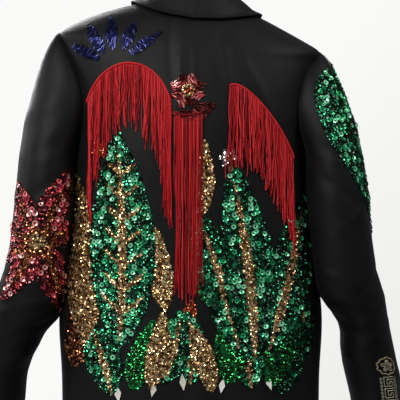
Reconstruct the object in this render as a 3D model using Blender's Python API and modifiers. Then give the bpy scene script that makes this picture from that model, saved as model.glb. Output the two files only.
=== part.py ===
"""A black jacket with a turned-down collar, worn and hollow, with three falls of fringe on its back.

Metres, +Z up. The wearer faces -Y, so the back of the jacket faces +Y and the left sleeve is at +X.
The origin is the middle of the neck opening, level with the inner ends of the shoulder seams.
Every cloth piece is a wall made from two grids of points: its outer side, and the same points moved in
by the cloth's thickness.
"""

import math

import bmesh
import bpy
import numpy as np
from mathutils import Vector
from mathutils.bvhtree import BVHTree

COLLECTION = "sequin_jacket"

# Cloth and seams
CLOTH = 0.002
SEAM_GAP = 0.0004
SEAM_FADE = 0.035
BACK, FRONT = 1, -1
LEFT, RIGHT = 1, -1

# Heights of the body, from the hem to the neck
HEM_Z = -0.715
ARMPIT_Z = -0.250
SHOULDER_TIP_Z = -0.061
NECK_Z = 0.0
HEM_LEVELS = 11
ARMHOLE_LEVELS = 10
SHOULDER_LEVELS = 6

# The neck seam dips below the shoulder points, at the middle back and far more at the middle front
NECK_DROP = {BACK: -0.016, FRONT: -0.080}
NECK_DROP_FADE_Z = -0.25

# Front closure: the left front lies over the right one by twice the overlap
OVERLAP = 0.014
UNDERLAP_STEP = CLOTH + 0.0012
UNDERLAP_START, UNDERLAP_END = -0.052, -0.026

# How far each armhole is cut in from the side of the body, at its widest, and how much less it is cut in higher up
ARMHOLE_INSET = {BACK: 0.070, FRONT: 0.066}
ARMHOLE_LEAN = 0.18

BACK_COLUMNS = 28
FRONT_COLUMNS = 15
SLEEVE_COLUMNS = 2 * ARMHOLE_LEVELS
CAP_ROWS = 7
ARM_ROWS = 15

# Sleeves: how far the cap runs on from the armhole before it turns down, and how far out and down it leaves it
CAP_REACH = 0.57
CAP_OUT = 0.50
CAP_DOWN = 0.12
ARM_SLOPE_SPAN = 0.02
# The sleeve follows the side of the body this far off, and bends away softly. Its folds fade out beside the body
SIDE_CLEARANCE = 0.0028
SIDE_SOFTNESS = 0.003
FOLD_START_X, FOLD_FULL_X = 0.205, 0.225

# Buttons
BUTTON_RADIUS = 0.010
BUTTON_THICKNESS = 0.0032
BUTTON_TOP_Z = -0.125
BUTTON_STEP = 0.112
BUTTON_COUNT = 5
BUTTON_SIDES = 20
BUTTON_ROUNDING = 0.0008

# Collar
STAND_HEIGHT = {0: 0.040, 90: 0.0185, 175: 0.024}
STAND_FOOT_SCALE, STAND_TOP_SCALE = 0.993, 0.84
COLLAR_END = 174.0
COLLAR_COLUMNS = 27
COLLAR_CLEARANCE = 0.0030

# Fringe
STRAND_PITCH = 0.0038
STRAND_WIDTH = 0.0025
STRAND_THICKNESS = 0.0016
STRIP_HEIGHT = 0.0045
STRIP_LIFT = 0.0006
STRIP_REACH = 0.0015
STRAND_LIFT = 0.0020
STRAND_PIECE = 0.055
STRAND_UNEVEN = 0.004
STRAND_TESTS = 5
# The strands grow in length towards the ends of a fall by this power of the way from its middle
LENGTH_POWER = 2.2
# The oval of a root line is this much wider than the fall
ROOT_OVAL = 1.06
# The least share of a steep cloth's direction that still counts when a strand is lifted off it
STEEPEST = 0.3

# Short steps along the cloth, an outward direction's upward share, and the angle from which an edge looks sharp
SMALL = 1e-4
SHORT = 0.01
UPWARD = 0.05
SHARP_ANGLE = 50


def table(names, *rows):
    """A table with named columns, as a column for each name."""
    return dict(zip(names.split(), np.array(rows, float).T))


# Levels of the body: half its width, its depth behind and in front of the side seams, and how square it is
BODY = table(
    "z half_width back front square",
    (-0.715, 0.217, 0.126, 0.129, 2.5),
    (-0.630, 0.218, 0.122, 0.127, 2.5),
    (-0.525, 0.2225, 0.118, 0.125, 2.5),
    (-0.430, 0.212, 0.118, 0.123, 2.5),
    (-0.330, 0.199, 0.122, 0.122, 2.5),
    (-0.250, 0.195, 0.125, 0.119, 2.5),
    (-0.170, 0.199, 0.122, 0.114, 2.45),
    (-0.120, 0.207, 0.115, 0.108, 2.4),
    (-0.085, 0.215, 0.106, 0.102, 2.35),
    (-0.061, 0.218, 0.098, 0.097, 2.3),
    (-0.045, 0.190, 0.091, 0.092, 2.2),
    (-0.024, 0.143, 0.080, 0.084, 2.1),
    (-0.008, 0.100, 0.068, 0.074, 2.0),
    (0.000, 0.075, 0.058, 0.066, 2.0),
)

# How the wearer stands: the left shoulder is a little higher, and the neck is a little to the right
STANCE = table(
    "z lean sway",
    (-0.350, 0.000, 0.000),
    (-0.250, 0.010, 0.000),
    (-0.150, 0.037, 0.000),
    (-0.060, 0.080, 0.001),
    (-0.030, 0.096, -0.004),
    (-0.010, 0.102, -0.010),
    (0.005, 0.104, -0.011),
    (0.030, 0.104, -0.007),
    (0.060, 0.104, -0.003),
)

# Sleeves below the armpit: inner and outer edge seen from behind, middle and half depth from front to back
LEFT_ARM = table(
    "z inner outer middle half_depth",
    (-0.272, 0.1910, 0.2890, 0.034, 0.067),
    (-0.331, 0.1915, 0.2940, 0.036, 0.066),
    (-0.378, 0.1960, 0.2995, 0.034, 0.065),
    (-0.433, 0.2020, 0.3070, 0.031, 0.064),
    (-0.482, 0.2090, 0.3200, 0.026, 0.063),
    (-0.512, 0.2240, 0.3295, 0.017, 0.063),
    (-0.540, 0.2480, 0.3395, 0.001, 0.062),
    (-0.572, 0.2650, 0.3520, -0.012, 0.061),
    (-0.610, 0.2780, 0.3640, -0.026, 0.060),
    (-0.660, 0.2850, 0.3730, -0.043, 0.059),
    (-0.705, 0.2910, 0.3790, -0.056, 0.058),
)
RIGHT_ARM = table(
    "z inner outer middle half_depth",
    (-0.272, 0.1910, 0.2900, 0.034, 0.067),
    (-0.331, 0.1915, 0.2975, 0.036, 0.066),
    (-0.378, 0.1960, 0.3025, 0.034, 0.065),
    (-0.433, 0.2020, 0.3095, 0.031, 0.064),
    (-0.470, 0.2090, 0.3160, 0.027, 0.063),
    (-0.490, 0.2265, 0.3220, 0.021, 0.063),
    (-0.511, 0.2425, 0.3290, 0.011, 0.062),
    (-0.543, 0.2540, 0.3360, -0.004, 0.062),
    (-0.587, 0.2580, 0.3460, -0.019, 0.061),
    (-0.634, 0.2685, 0.3570, -0.035, 0.060),
    (-0.671, 0.2775, 0.3640, -0.047, 0.059),
    (-0.705, 0.2830, 0.3710, -0.057, 0.058),
)

# Large soft folds on the body: middle, direction from upright, half length, half width and height
BACK_FOLDS = table(
    "x z tilt length width height",
    (0.150, -0.330, 6.0, 0.150, 0.020, -0.0035),
    (0.165, -0.420, -4.0, 0.170, 0.020, 0.0040),
    (-0.150, -0.340, -8.0, 0.140, 0.020, -0.0035),
    (-0.163, -0.440, 5.0, 0.160, 0.020, 0.0040),
    (0.020, -0.130, 3.0, 0.085, 0.014, 0.0022),
    (0.070, -0.640, 2.0, 0.110, 0.026, 0.0030),
    (-0.050, -0.630, -3.0, 0.110, 0.024, -0.0030),
    (-0.120, -0.660, 2.0, 0.090, 0.024, 0.0030),
)
FRONT_FOLDS = table(
    "x z tilt length width height",
    (0.135, -0.300, -12.0, 0.150, 0.022, -0.0040),
    (-0.135, -0.310, 12.0, 0.150, 0.022, -0.0040),
    (0.165, -0.430, 5.0, 0.160, 0.022, 0.0040),
    (-0.165, -0.440, -5.0, 0.160, 0.022, 0.0040),
    (0.085, -0.620, 3.0, 0.120, 0.026, 0.0035),
    (-0.085, -0.610, -3.0, 0.120, 0.026, 0.0035),
)

# Folds round the sleeves: height, where on the sleeve (0 outside, 90 back), reach round it, slant, width, height
SLEEVE_FOLDS = table(
    "z turn reach slant width height",
    (-0.180, 60.0, 60.0, 0.030, 0.016, 0.0035),
    (-0.230, 130.0, 60.0, 0.025, 0.014, -0.0030),
    (-0.420, 250.0, 75.0, 0.020, 0.014, -0.0034),
    (-0.455, 220.0, 75.0, -0.020, 0.013, 0.0034),
    (-0.490, 250.0, 70.0, 0.020, 0.014, -0.0034),
    (-0.525, 200.0, 80.0, -0.025, 0.014, 0.0034),
    (-0.600, 120.0, 70.0, 0.030, 0.016, 0.0035),
    (-0.650, 300.0, 80.0, 0.020, 0.016, 0.0035),
)

# The collar's outer edge on its left half, from the middle back (0) to the collar point (175)
COLLAR_EDGE = table(
    "turn x y z",
    (0, 0.000, 0.080, -0.031),
    (30, 0.052, 0.070, -0.026),
    (60, 0.092, 0.042, -0.017),
    (90, 0.109, 0.000, -0.012),
    (115, 0.105, -0.034, -0.022),
    (140, 0.090, -0.066, -0.055),
    (160, 0.069, -0.090, -0.098),
    (175, 0.050, -0.102, -0.142),
)

# How the collar rolls over the top of its stand: out from the stand, and up from its top
COLLAR_ROLL = ((-0.0006, 0.0012), (0.0034, 0.0019), (0.0072, -0.0020))
COLLAR_FALL_ROWS = 4

# Falls of fringe: the middle of the root line, half its width, the height of its ends, how far it arches over them
# and leans, and strand length in its middle and at its ends
FRINGES = {
    "fringe_left": dict(x=0.101, half_width=0.069, end_z=-0.205, rise=0.095, tilt=0.0, middle=0.095, ends=0.205),
    "fringe_right": dict(x=-0.117, half_width=0.053, end_z=-0.222, rise=0.045, tilt=1.1, middle=0.115, ends=0.150),
    "fringe_middle": dict(x=0.003, half_width=0.023, end_z=-0.186, rise=-0.010, tilt=0.0, middle=0.300, ends=0.270),
}
FRINGE_SEED = 7


def read(tab, column, at):
    """A column of a table at a value of its first column, on a smooth curve through the rows."""
    keys, values = next(iter(tab.values())), tab[column]
    slopes = np.gradient(values, keys)
    at = np.clip(np.asarray(at, float), keys[0], keys[-1])
    i = np.clip(np.searchsorted(keys, at, side="right") - 1, 0, len(keys) - 2)
    step = keys[i + 1] - keys[i]
    t = (at - keys[i]) / step
    return (
        (2 * t**3 - 3 * t**2 + 1) * values[i]
        + (t**3 - 2 * t**2 + t) * step * slopes[i]
        + (3 * t**2 - 2 * t**3) * values[i + 1]
        + (t**3 - t**2) * step * slopes[i + 1]
    )


def unit(vectors):
    """The same vectors at length 1."""
    return vectors / np.linalg.norm(vectors, axis=-1, keepdims=True)


def posed(points):
    """Points of the upright jacket moved to how the wearer stands."""
    moved = np.array(points, float)
    moved[..., 2] += read(STANCE, "lean", points[..., 2]) * points[..., 0]
    moved[..., 0] += read(STANCE, "sway", points[..., 2])
    return moved


def body_ring(z, side, steps=301):
    """The body's outer side at one level, from the left side seam round the back or the front to the right one."""
    half_width = read(BODY, "half_width", z)
    depth = read(BODY, "back" if side == BACK else "front", z)
    power = 2 / read(BODY, "square", z)
    turn = np.linspace(0, math.pi, steps)
    cosine, sine = np.cos(turn), np.sin(turn)
    rise = np.clip(1 - z / NECK_DROP_FADE_Z, 0, 1)
    return np.column_stack([
        half_width * np.sign(cosine) * np.abs(cosine) ** power,
        side * depth * sine**power,
        z + NECK_DROP[side] * rise * sine**2,
    ])


def ring_points(ring, distances):
    """Points at these distances along a ring."""
    travelled = np.concatenate([[0], np.cumsum(np.linalg.norm(np.diff(ring, axis=0), axis=1))])
    return np.column_stack([np.interp(distances, travelled, ring[:, axis]) for axis in range(3)])


def ring_length(ring):
    return np.linalg.norm(np.diff(ring, axis=0), axis=1).sum()


def fold_heights(folds, points):
    """How far soft folds lift the cloth at points of the body."""
    lift = np.zeros(points.shape[:-1])
    for x, z, tilt, length, width, height in zip(*folds.values()):
        turn = math.radians(tilt)
        across = (points[..., 0] - x) * math.cos(turn) + (points[..., 2] - z) * math.sin(turn)
        down = (points[..., 2] - z) * math.cos(turn) - (points[..., 0] - x) * math.sin(turn)
        lift += height * np.exp(-((across / width) ** 2) - (down / length) ** 4)
    return lift


def body_rows(side, levels, start, end, columns):
    """Outer points and outward directions of a body panel. start and end are distances from the left side seam."""
    outer, outward = [], []
    for z, first, last in zip(levels, start, end):
        ring = body_ring(z, side)
        length = ring_length(ring)
        at = np.linspace(first, last, columns)
        points = ring_points(ring, at)
        ahead = ring_points(ring, np.clip(at + SMALL, 0, length))
        behind = ring_points(ring, np.clip(at - SMALL, 0, length))
        above = body_ring(min(z + SMALL, NECK_Z), side)
        below = body_ring(max(z - SMALL, HEM_Z), side)
        share = at / length
        up = ring_points(above, share * ring_length(above)) - ring_points(below, share * ring_length(below))
        outer.append(points)
        outward.append(unit(side * np.cross(ahead - behind, up)))
    return np.array(outer), np.array(outward)


def armhole_levels():
    """Heights of the rows beside an armhole, from the armpit up, close together where the armhole turns."""
    turns = np.linspace(0, math.pi, ARMHOLE_LEVELS + 1)
    return ARMPIT_Z + (SHOULDER_TIP_Z - ARMPIT_Z) * (1 - np.cos(turns)) / 2


def body_levels():
    """Heights of all rows of a body panel."""
    return np.concatenate([
        np.linspace(HEM_Z, ARMPIT_Z, HEM_LEVELS)[:-1],
        armhole_levels(),
        np.linspace(SHOULDER_TIP_Z, NECK_Z, SHOULDER_LEVELS + 1)[1:],
    ])


def armhole_inset(z, side):
    """How far in from the side of the body the armhole's edge lies at a height."""
    middle, half = (ARMPIT_Z + SHOULDER_TIP_Z) / 2, (SHOULDER_TIP_Z - ARMPIT_Z) / 2
    across = np.clip((z - middle) / half, -1, 1)
    return ARMHOLE_INSET[side] * np.sqrt(1 - across**2) * (1 - ARMHOLE_LEAN * across)


def wall(name, outer, inner, colour, around=False):
    """A cloth wall between two grids of points, closed at its edges. Around joins its last column to its first."""
    rows, columns = outer.shape[:2]
    points = np.concatenate([outer.reshape(-1, 3), inner.reshape(-1, 3)])
    under = rows * columns
    faces = []
    for i in range(rows - 1):
        for j in range(columns if around else columns - 1):
            k = (j + 1) % columns
            quad = [i * columns + j, i * columns + k, (i + 1) * columns + k, (i + 1) * columns + j]
            faces.append(quad)
            faces.append([under + p for p in reversed(quad)])
    rims = [[i * columns + j for j in range(columns)] for i in (0, rows - 1)]
    if not around:
        rims += [[i * columns + j for i in range(rows)] for j in (0, columns - 1)]
    for rim in rims:
        ends = zip(rim, rim[1:] + rim[:1] if around else rim[1:])
        faces.extend([a, b, under + b, under + a] for a, b in ends)
    return solid(name, points, faces, colour)


def solid(name, points, faces, colour):
    """An object of these faces, turned to face out."""
    mesh = bpy.data.meshes.new(name)
    mesh.from_pydata([tuple(p) for p in points], [], faces)
    shaped = bmesh.new()
    shaped.from_mesh(mesh)
    bmesh.ops.recalc_face_normals(shaped, faces=shaped.faces)
    shaped.to_mesh(mesh)
    shaped.free()
    mesh.shade_smooth()
    mesh.set_sharp_from_angle(angle=math.radians(SHARP_ANGLE))
    mesh.materials.append(colour)
    made = bpy.data.objects.new(name, mesh)
    bpy.data.collections[COLLECTION].objects.link(made)
    return made


def thickened(outer, outward):
    """The outer and inner points of a cloth wall, in the wearer's stance."""
    return posed(outer), posed(outer - CLOTH * outward)


def surface_of(grid):
    """A tree for finding points on a grid of points."""
    rows, columns = grid.shape[:2]
    faces = [
        (i * columns + j, i * columns + j + 1, (i + 1) * columns + j + 1, (i + 1) * columns + j)
        for i in range(rows - 1)
        for j in range(columns - 1)
    ]
    return BVHTree.FromPolygons([tuple(p) for p in grid.reshape(-1, 3)], faces)


def seam_fade(outer, both, flip):
    """0 at a panel's side seams and 1 well inside it. A front has one side seam, at its first or last column."""
    steps = np.linalg.norm(np.diff(outer, axis=1), axis=2)
    travelled = np.concatenate([np.zeros((len(outer), 1)), np.cumsum(steps, axis=1)], axis=1)
    inward = travelled[:, -1:] - travelled
    nearest = np.minimum(travelled, inward) if both else inward if flip else travelled
    share = np.clip(nearest / SEAM_FADE, 0, 1)
    return share * share * (3 - 2 * share)


def body_panel(name, side, start, end, columns, folds, colour, step=None):
    """A back or front panel. start and end give its edges at each level, as distances from the left side seam."""
    levels = body_levels()
    outer, outward = body_rows(side, levels, start(levels), end(levels), columns)
    lift = fold_heights(folds, outer) * seam_fade(outer, both=side == BACK, flip=step is not None)
    outer = outer + lift[..., None] * outward
    if step is not None:
        outer = outer - step(outer[..., 0])[..., None] * outward
    grids = thickened(outer, outward)
    wall(name, *grids, colour)
    return grids[0]


def make_back(colour):
    """The back, cut in one piece, from armhole to armhole and from the neck to the hem."""

    def start(levels):
        return armhole_inset(levels, BACK) + SEAM_GAP / 2

    def end(levels):
        return np.array([ring_length(body_ring(z, BACK)) for z in levels]) - start(levels)

    return body_panel("back", BACK, start, end, BACK_COLUMNS, BACK_FOLDS, colour)


def distance_at(z, side, x):
    """How far along a level's ring the body has this x."""
    ring = body_ring(z, side)
    travelled = np.concatenate([[0], np.cumsum(np.linalg.norm(np.diff(ring, axis=0), axis=1))])
    return np.interp(-x, -ring[:, 0], travelled)


def make_fronts(colour):
    """The two fronts. The left one lies over the right one along the middle."""

    def side_edge(levels):
        return armhole_inset(levels, FRONT) + SEAM_GAP / 2

    def far_side_edge(levels):
        return np.array([ring_length(body_ring(z, FRONT)) for z in levels]) - side_edge(levels)

    def over(levels):
        return np.array([distance_at(z, FRONT, -OVERLAP) for z in levels])

    def under(levels):
        return np.array([distance_at(z, FRONT, OVERLAP) for z in levels])

    def underlap(x):
        share = np.clip((x - UNDERLAP_START) / (UNDERLAP_END - UNDERLAP_START), 0, 1)
        return UNDERLAP_STEP * share * share * (3 - 2 * share)

    left = body_panel("front_left", FRONT, side_edge, over, FRONT_COLUMNS, FRONT_FOLDS, colour)
    right = body_panel(
        "front_right", FRONT, under, far_side_edge, FRONT_COLUMNS, FRONT_FOLDS, colour, underlap
    )
    return left, right


def armhole_ring():
    """Points and outward directions of the left armhole, from the shoulder tip by the back, armpit and front."""
    levels = armhole_levels()
    rows = {}
    for side in (BACK, FRONT):
        edge = armhole_inset(levels, side)
        rows[side] = [grid[:, 0] for grid in body_rows(side, levels, edge, edge + SHORT, 2)]
    return [np.concatenate([back[:0:-1], front[:-1]]) for back, front in zip(rows[BACK], rows[FRONT])]


def beside_body(points):
    """Points of the left sleeve, moved out where they would come too near to the side of the body."""
    z = np.clip(points[:, 2], HEM_Z, NECK_Z)
    depth = np.where(points[:, 1] > 0, read(BODY, "back", z), read(BODY, "front", z))
    power = read(BODY, "square", z)
    share = np.clip(np.abs(points[:, 1]) / depth, 0, 1)
    side = read(BODY, "half_width", z) * (1 - share**power) ** (1 / power) + SIDE_CLEARANCE
    moved = points.copy()
    moved[:, 0] = (points[:, 0] + side + np.hypot(points[:, 0] - side, SIDE_SOFTNESS)) / 2
    return moved


def arm_ring(arm, z):
    """One ring of a sleeve, on the left side, starting at its outermost point and going round by the back."""
    turn = np.linspace(0, 2 * math.pi, SLEEVE_COLUMNS, endpoint=False)
    inner, outer = read(arm, "inner", z), read(arm, "outer", z)
    reach, middle = (outer - inner) / 2, (outer + inner) / 2
    ends = read(arm, "outer", z - ARM_SLOPE_SPAN), read(arm, "outer", z + ARM_SLOPE_SPAN)
    slope = (ends[0] - ends[1]) / (2 * ARM_SLOPE_SPAN)
    slope = np.where(z < arm["z"].min() + ARM_SLOPE_SPAN, 0.0, slope)
    return beside_body(np.column_stack([
        middle + reach * np.cos(turn),
        read(arm, "middle", z) + read(arm, "half_depth", z) * np.sin(turn),
        z + slope * reach * np.cos(turn),
    ]))


def sleeve_folds(points):
    """How far the folds round a sleeve lift it."""
    rows, columns = points.shape[:2]
    turn = np.degrees(np.linspace(0, 2 * math.pi, columns, endpoint=False))
    lift = np.zeros((rows, columns))
    for z, at, reach, slant, width, height in zip(*SLEEVE_FOLDS.values()):
        away = (turn - at + 180) % 360 - 180
        crest = z + slant * away / reach
        lift += height * np.exp(-(((points[..., 2] - crest) / width) ** 2) - (away / reach) ** 2)
    return lift


def sleeve_grids(side, arm):
    """The outer and inner points of a sleeve: a cap that turns down from the armhole, then a tube to the wrist."""
    start, seam_outward = armhole_ring()
    start = start + np.array([2 * SEAM_GAP, 0, 0])
    arm = {column: values[::-1] for column, values in arm.items()}
    top_z, wrist_z = arm["z"].max(), arm["z"].min()
    first = arm_ring(arm, top_z)
    turn = np.linspace(0, 2 * math.pi, SLEEVE_COLUMNS, endpoint=False)
    along = np.roll(start, -1, axis=0) - np.roll(start, 1, axis=0)
    onward = unit(np.cross(seam_outward, along))
    leaving = unit(np.column_stack([
        np.maximum(onward[:, 0], 0) + CAP_OUT,
        onward[:, 1],
        np.minimum(onward[:, 2], 0) - CAP_DOWN * (1 + np.cos(turn)),
    ]))
    arriving = unit(arm_ring(arm, top_z - SHORT) - first)
    reach = CAP_REACH * np.linalg.norm(first - start, axis=1, keepdims=True)
    rows = []
    for t in np.linspace(0, 1, CAP_ROWS, endpoint=False):
        rows.append(
            (2 * t**3 - 3 * t**2 + 1) * start
            + (t**3 - 2 * t**2 + t) * reach * leaving
            + (3 * t**2 - 2 * t**3) * first
            + (t**3 - t**2) * reach * arriving
        )
    rows += [arm_ring(arm, z) for z in np.linspace(top_z, wrist_z, ARM_ROWS)]
    outer = np.array(rows)
    around = np.roll(outer, -1, axis=1) - np.roll(outer, 1, axis=1)
    outward = unit(np.cross(np.gradient(outer, axis=0), around))
    clear = np.clip((outer[..., 0] - FOLD_START_X) / (FOLD_FULL_X - FOLD_START_X), 0, 1)
    lift = sleeve_folds(outer) * clear
    lift[0] = 0
    outer = outer + lift[..., None] * outward
    inner = outer - CLOTH * outward
    flip = np.array([side, 1, 1])
    return posed(outer * flip), posed(inner * flip)


def stand_height(turn):
    """Height of the collar stand round the neck, from the middle back (0) to the front."""
    return np.interp(np.abs(turn), list(STAND_HEIGHT), list(STAND_HEIGHT.values()))


def neck_ring(turn, scale):
    """Points round the neck seam, seen from above, from the middle back (0) to the front, left side positive."""
    angle = np.radians(turn)
    side = np.where(np.cos(angle) > 0, BACK, FRONT)
    half_width, back, front = (BODY[name][-1] for name in ("half_width", "back", "front"))
    depth = np.where(side == BACK, back, front)
    drop = np.where(side == BACK, NECK_DROP[BACK], NECK_DROP[FRONT]) * np.cos(angle) ** 2
    return np.column_stack([scale * half_width * np.sin(angle), scale * depth * np.cos(angle), drop])


def collar_turns():
    return np.linspace(-COLLAR_END, COLLAR_END, COLLAR_COLUMNS)


def grid_outward(outer):
    """Outward directions of a collar's grid of points, whose rows go round the neck."""
    along = np.gradient(outer, axis=1)
    return unit(np.cross(along, np.gradient(outer, axis=0)))


def stand_rows():
    """The outer side of the collar stand, from just above the neck seam to the collar's fold."""
    turn = collar_turns()
    foot = neck_ring(turn, STAND_FOOT_SCALE) + [0, 0, 2 * SEAM_GAP]
    top = neck_ring(turn, STAND_TOP_SCALE)
    top[:, 2] += stand_height(turn)
    return np.array([foot + share * (top - foot) for share in (0, 0.5, 1)])


def stand_grids():
    """The outer and inner points of the collar stand."""
    outer = stand_rows()
    return thickened(outer, -grid_outward(outer))


class Nearest:
    """Several surfaces searched as one. Its normals point away from the middle of the body."""

    def __init__(self, surfaces):
        self.surfaces = surfaces

    def find_nearest(self, point):
        found = min((s.find_nearest(point) for s in self.surfaces), key=lambda hit: hit[3])
        place, normal, index, distance = found
        outward = Vector((place.x, place.y, UPWARD))
        return place, normal if normal.dot(outward) > 0 else -normal, index, distance


def fall_grids(surface):
    """The points of the turned-down part of the collar. It rolls over the stand and lies just clear of the body."""
    turn = collar_turns()
    top = stand_rows()[-1]
    away = unit(neck_ring(turn, 1.0) * [1, 1, 0])
    roll = [top + out * away + [0, 0, up] for out, up in COLLAR_ROLL]
    edge = np.column_stack([read(COLLAR_EDGE, axis, np.abs(turn)) for axis in "xyz"])
    edge[:, 0] *= np.sign(turn)
    shares = np.linspace(0, 1, COLLAR_FALL_ROWS + 1)[1:]
    outer = np.array(roll + [roll[-1] + share * (edge - roll[-1]) for share in shares])
    outer = posed(outer)
    for row in outer:
        for point in row:
            place, normal, _, _ = surface.find_nearest(Vector(point))
            height = (Vector(point) - place).dot(normal)
            need = CLOTH + COLLAR_CLEARANCE
            if height < need and (Vector(point) - place).length < 2 * need:
                point += np.array(normal) * (need - height)
    return outer, outer + CLOTH * grid_outward(outer)


def make_buttons(surface, colour):
    """Buttons down the middle of the left front."""
    for number in range(BUTTON_COUNT):
        z = BUTTON_TOP_Z - number * BUTTON_STEP
        place, normal, _, _ = surface.ray_cast(Vector((0, -1, z)), Vector((0, 1, 0)))
        outward = normal if normal.y < 0 else -normal
        shaped = bmesh.new()
        bmesh.ops.create_cone(
            shaped, cap_ends=True, segments=BUTTON_SIDES, radius1=BUTTON_RADIUS, radius2=BUTTON_RADIUS,
            depth=BUTTON_THICKNESS,
        )
        mesh = bpy.data.meshes.new(f"button_{number + 1}")
        shaped.to_mesh(mesh)
        shaped.free()
        mesh.materials.append(colour)
        button = bpy.data.objects.new(mesh.name, mesh)
        button.rotation_mode = "QUATERNION"
        button.rotation_quaternion = outward.to_track_quat("Z", "Y")
        button.location = place + outward * (BUTTON_THICKNESS / 2 + 2 * SEAM_GAP)
        bevel = button.modifiers.new("rounded rim", "BEVEL")
        bevel.width = BUTTON_ROUNDING
        bevel.segments = 1
        bevel.limit_method = "ANGLE"
        bpy.data.collections[COLLECTION].objects.link(button)


def lifted_y(surface, x, z, lift):
    """How far back a point of the fringe lies when it is this far off the back panel."""
    place, normal, _, _ = surface.ray_cast(Vector((x, 1, z)), Vector((0, -1, 0)))
    return place.y + lift / max(abs(normal.y), STEEPEST)


def root_height(fall, x):
    """Height of a fringe's root line at x: a half oval that rises, or sags where the rise is negative."""
    aside = x - fall["x"]
    across = aside / (fall["half_width"] * ROOT_OVAL)
    return fall["end_z"] + fall["tilt"] * aside + fall["rise"] * math.sqrt(max(0.0, 1 - across**2))


def make_fringe(name, fall, surface, chance, colour):
    """A narrow strip along the root line, with strands pulled down out of its lower side."""
    count = round(2 * fall["half_width"] / STRAND_PITCH)
    edges = []
    for number in range(count):
        left = fall["x"] - fall["half_width"] + number * STRAND_PITCH
        edges += [left, left + STRAND_WIDTH]
    points, faces = [], []
    for x in edges:
        low = root_height(fall, x)
        for z in (low, low + STRIP_HEIGHT):
            y = max(lifted_y(surface, x + aside, z, STRIP_LIFT) for aside in (-STRIP_REACH, 0, STRIP_REACH))
            points += [(x, y, z), (x, y + STRAND_THICKNESS, z)]
    # Each section holds four points: low inner, low outer, high inner, high outer
    for number in range(len(edges) - 1):
        a, b = 4 * number, 4 * number + 4
        faces += [(a, a + 2, b + 2, b), (a + 1, b + 1, b + 3, a + 3), (a + 2, a + 3, b + 3, b + 2)]
        if number % 2:
            faces.append((a, b, b + 1, a + 1))
    last = len(points) - 4
    faces += [(0, 1, 3, 2), (last, last + 2, last + 3, last + 1)]
    for number in range(count):
        a = 8 * number
        left, right = edges[2 * number], edges[2 * number + 1]
        across = (left + right) / 2 - fall["x"]
        share = min(1.0, abs(across) / fall["half_width"])
        length = fall["middle"] + (fall["ends"] - fall["middle"]) * share**LENGTH_POWER
        length += chance.uniform(-STRAND_UNEVEN, STRAND_UNEVEN)
        ring = [a, a + 4, a + 5, a + 1]
        y = points[a][1]
        pieces = math.ceil(length / STRAND_PIECE)
        for piece in range(1, pieces + 1):
            drop = length * piece / pieces
            low = root_height(fall, (left + right) / 2) - drop
            steps = np.linspace(0, length / pieces, STRAND_TESTS)
            y = max([lifted_y(surface, x, low + s, STRAND_LIFT) for s in steps for x in (left, right)] + [y])
            first = len(points)
            points += [
                (left, y, low), (right, y, low),
                (right, y + STRAND_THICKNESS, low), (left, y + STRAND_THICKNESS, low),
            ]
            below = [first, first + 1, first + 2, first + 3]
            faces += [(ring[k], ring[(k + 1) % 4], below[(k + 1) % 4], below[k]) for k in range(4)]
            ring = below
        faces.append(tuple(ring))
    solid(name, points, faces, colour)


def paint(name, colour, roughness):
    """A plain material."""
    made = bpy.data.materials.new(name)
    made.use_nodes = True
    shader = made.node_tree.nodes["Principled BSDF"]
    shader.inputs["Base Color"].default_value = (*colour, 1)
    shader.inputs["Roughness"].default_value = roughness
    shader.inputs["Metallic"].default_value = 0.0
    return made


def main():
    for old in list(bpy.data.objects):
        bpy.data.objects.remove(old)
    bpy.context.scene.collection.children.link(bpy.data.collections.new(COLLECTION))
    cloth = paint("black_cloth", (0.012, 0.012, 0.012), 0.55)
    horn = paint("black_button", (0.015, 0.015, 0.016), 0.3)
    thread = paint("red_fringe", (0.55, 0.015, 0.025), 0.5)
    back = make_back(cloth)
    left, right = make_fronts(cloth)
    wall("sleeve_left", *sleeve_grids(LEFT, LEFT_ARM), cloth, around=True)
    wall("sleeve_right", *sleeve_grids(RIGHT, RIGHT_ARM), cloth, around=True)
    wall("collar_stand", *stand_grids(), cloth)
    whole = np.concatenate([left[:, :-1], right], axis=1)
    behind = surface_of(back)
    ahead = surface_of(left)
    shell = [surface_of(back), surface_of(whole)]
    wall("collar_fall", *fall_grids(Nearest(shell)), cloth)
    make_buttons(ahead, horn)
    chance = np.random.default_rng(FRINGE_SEED)
    for name, fall in FRINGES.items():
        make_fringe(name, fall, behind, chance, thread)


main()
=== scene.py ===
"""The looks of the black jacket: fine cloth, sequins, beads, fringe threads, gold embroidery and stitching.

Metres, +Z up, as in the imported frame. The jacket is seen from behind, from +Y, so the left sleeve is at +X
and on the left of the picture.
"""

import math

import bmesh
import bpy
import numpy as np
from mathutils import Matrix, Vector
from mathutils.bvhtree import BVHTree


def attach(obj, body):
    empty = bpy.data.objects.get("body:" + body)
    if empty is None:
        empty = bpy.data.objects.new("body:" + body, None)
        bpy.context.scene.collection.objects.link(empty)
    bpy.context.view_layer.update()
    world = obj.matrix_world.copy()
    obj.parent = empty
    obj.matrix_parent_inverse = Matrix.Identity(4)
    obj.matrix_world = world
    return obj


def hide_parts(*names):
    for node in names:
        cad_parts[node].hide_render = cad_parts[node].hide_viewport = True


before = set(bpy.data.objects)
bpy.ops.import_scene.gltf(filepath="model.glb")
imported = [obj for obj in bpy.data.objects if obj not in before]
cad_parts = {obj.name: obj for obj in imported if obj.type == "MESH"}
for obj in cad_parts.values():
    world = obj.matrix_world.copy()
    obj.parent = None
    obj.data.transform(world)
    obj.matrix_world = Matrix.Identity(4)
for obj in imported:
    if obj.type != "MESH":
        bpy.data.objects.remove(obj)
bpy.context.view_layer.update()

# Cloth, and the sides of the body
CLOTH = 0.002
SEAM_FADE = 0.035
BACK, FRONT = 1, -1
LEFT, RIGHT = 1, -1

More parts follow.
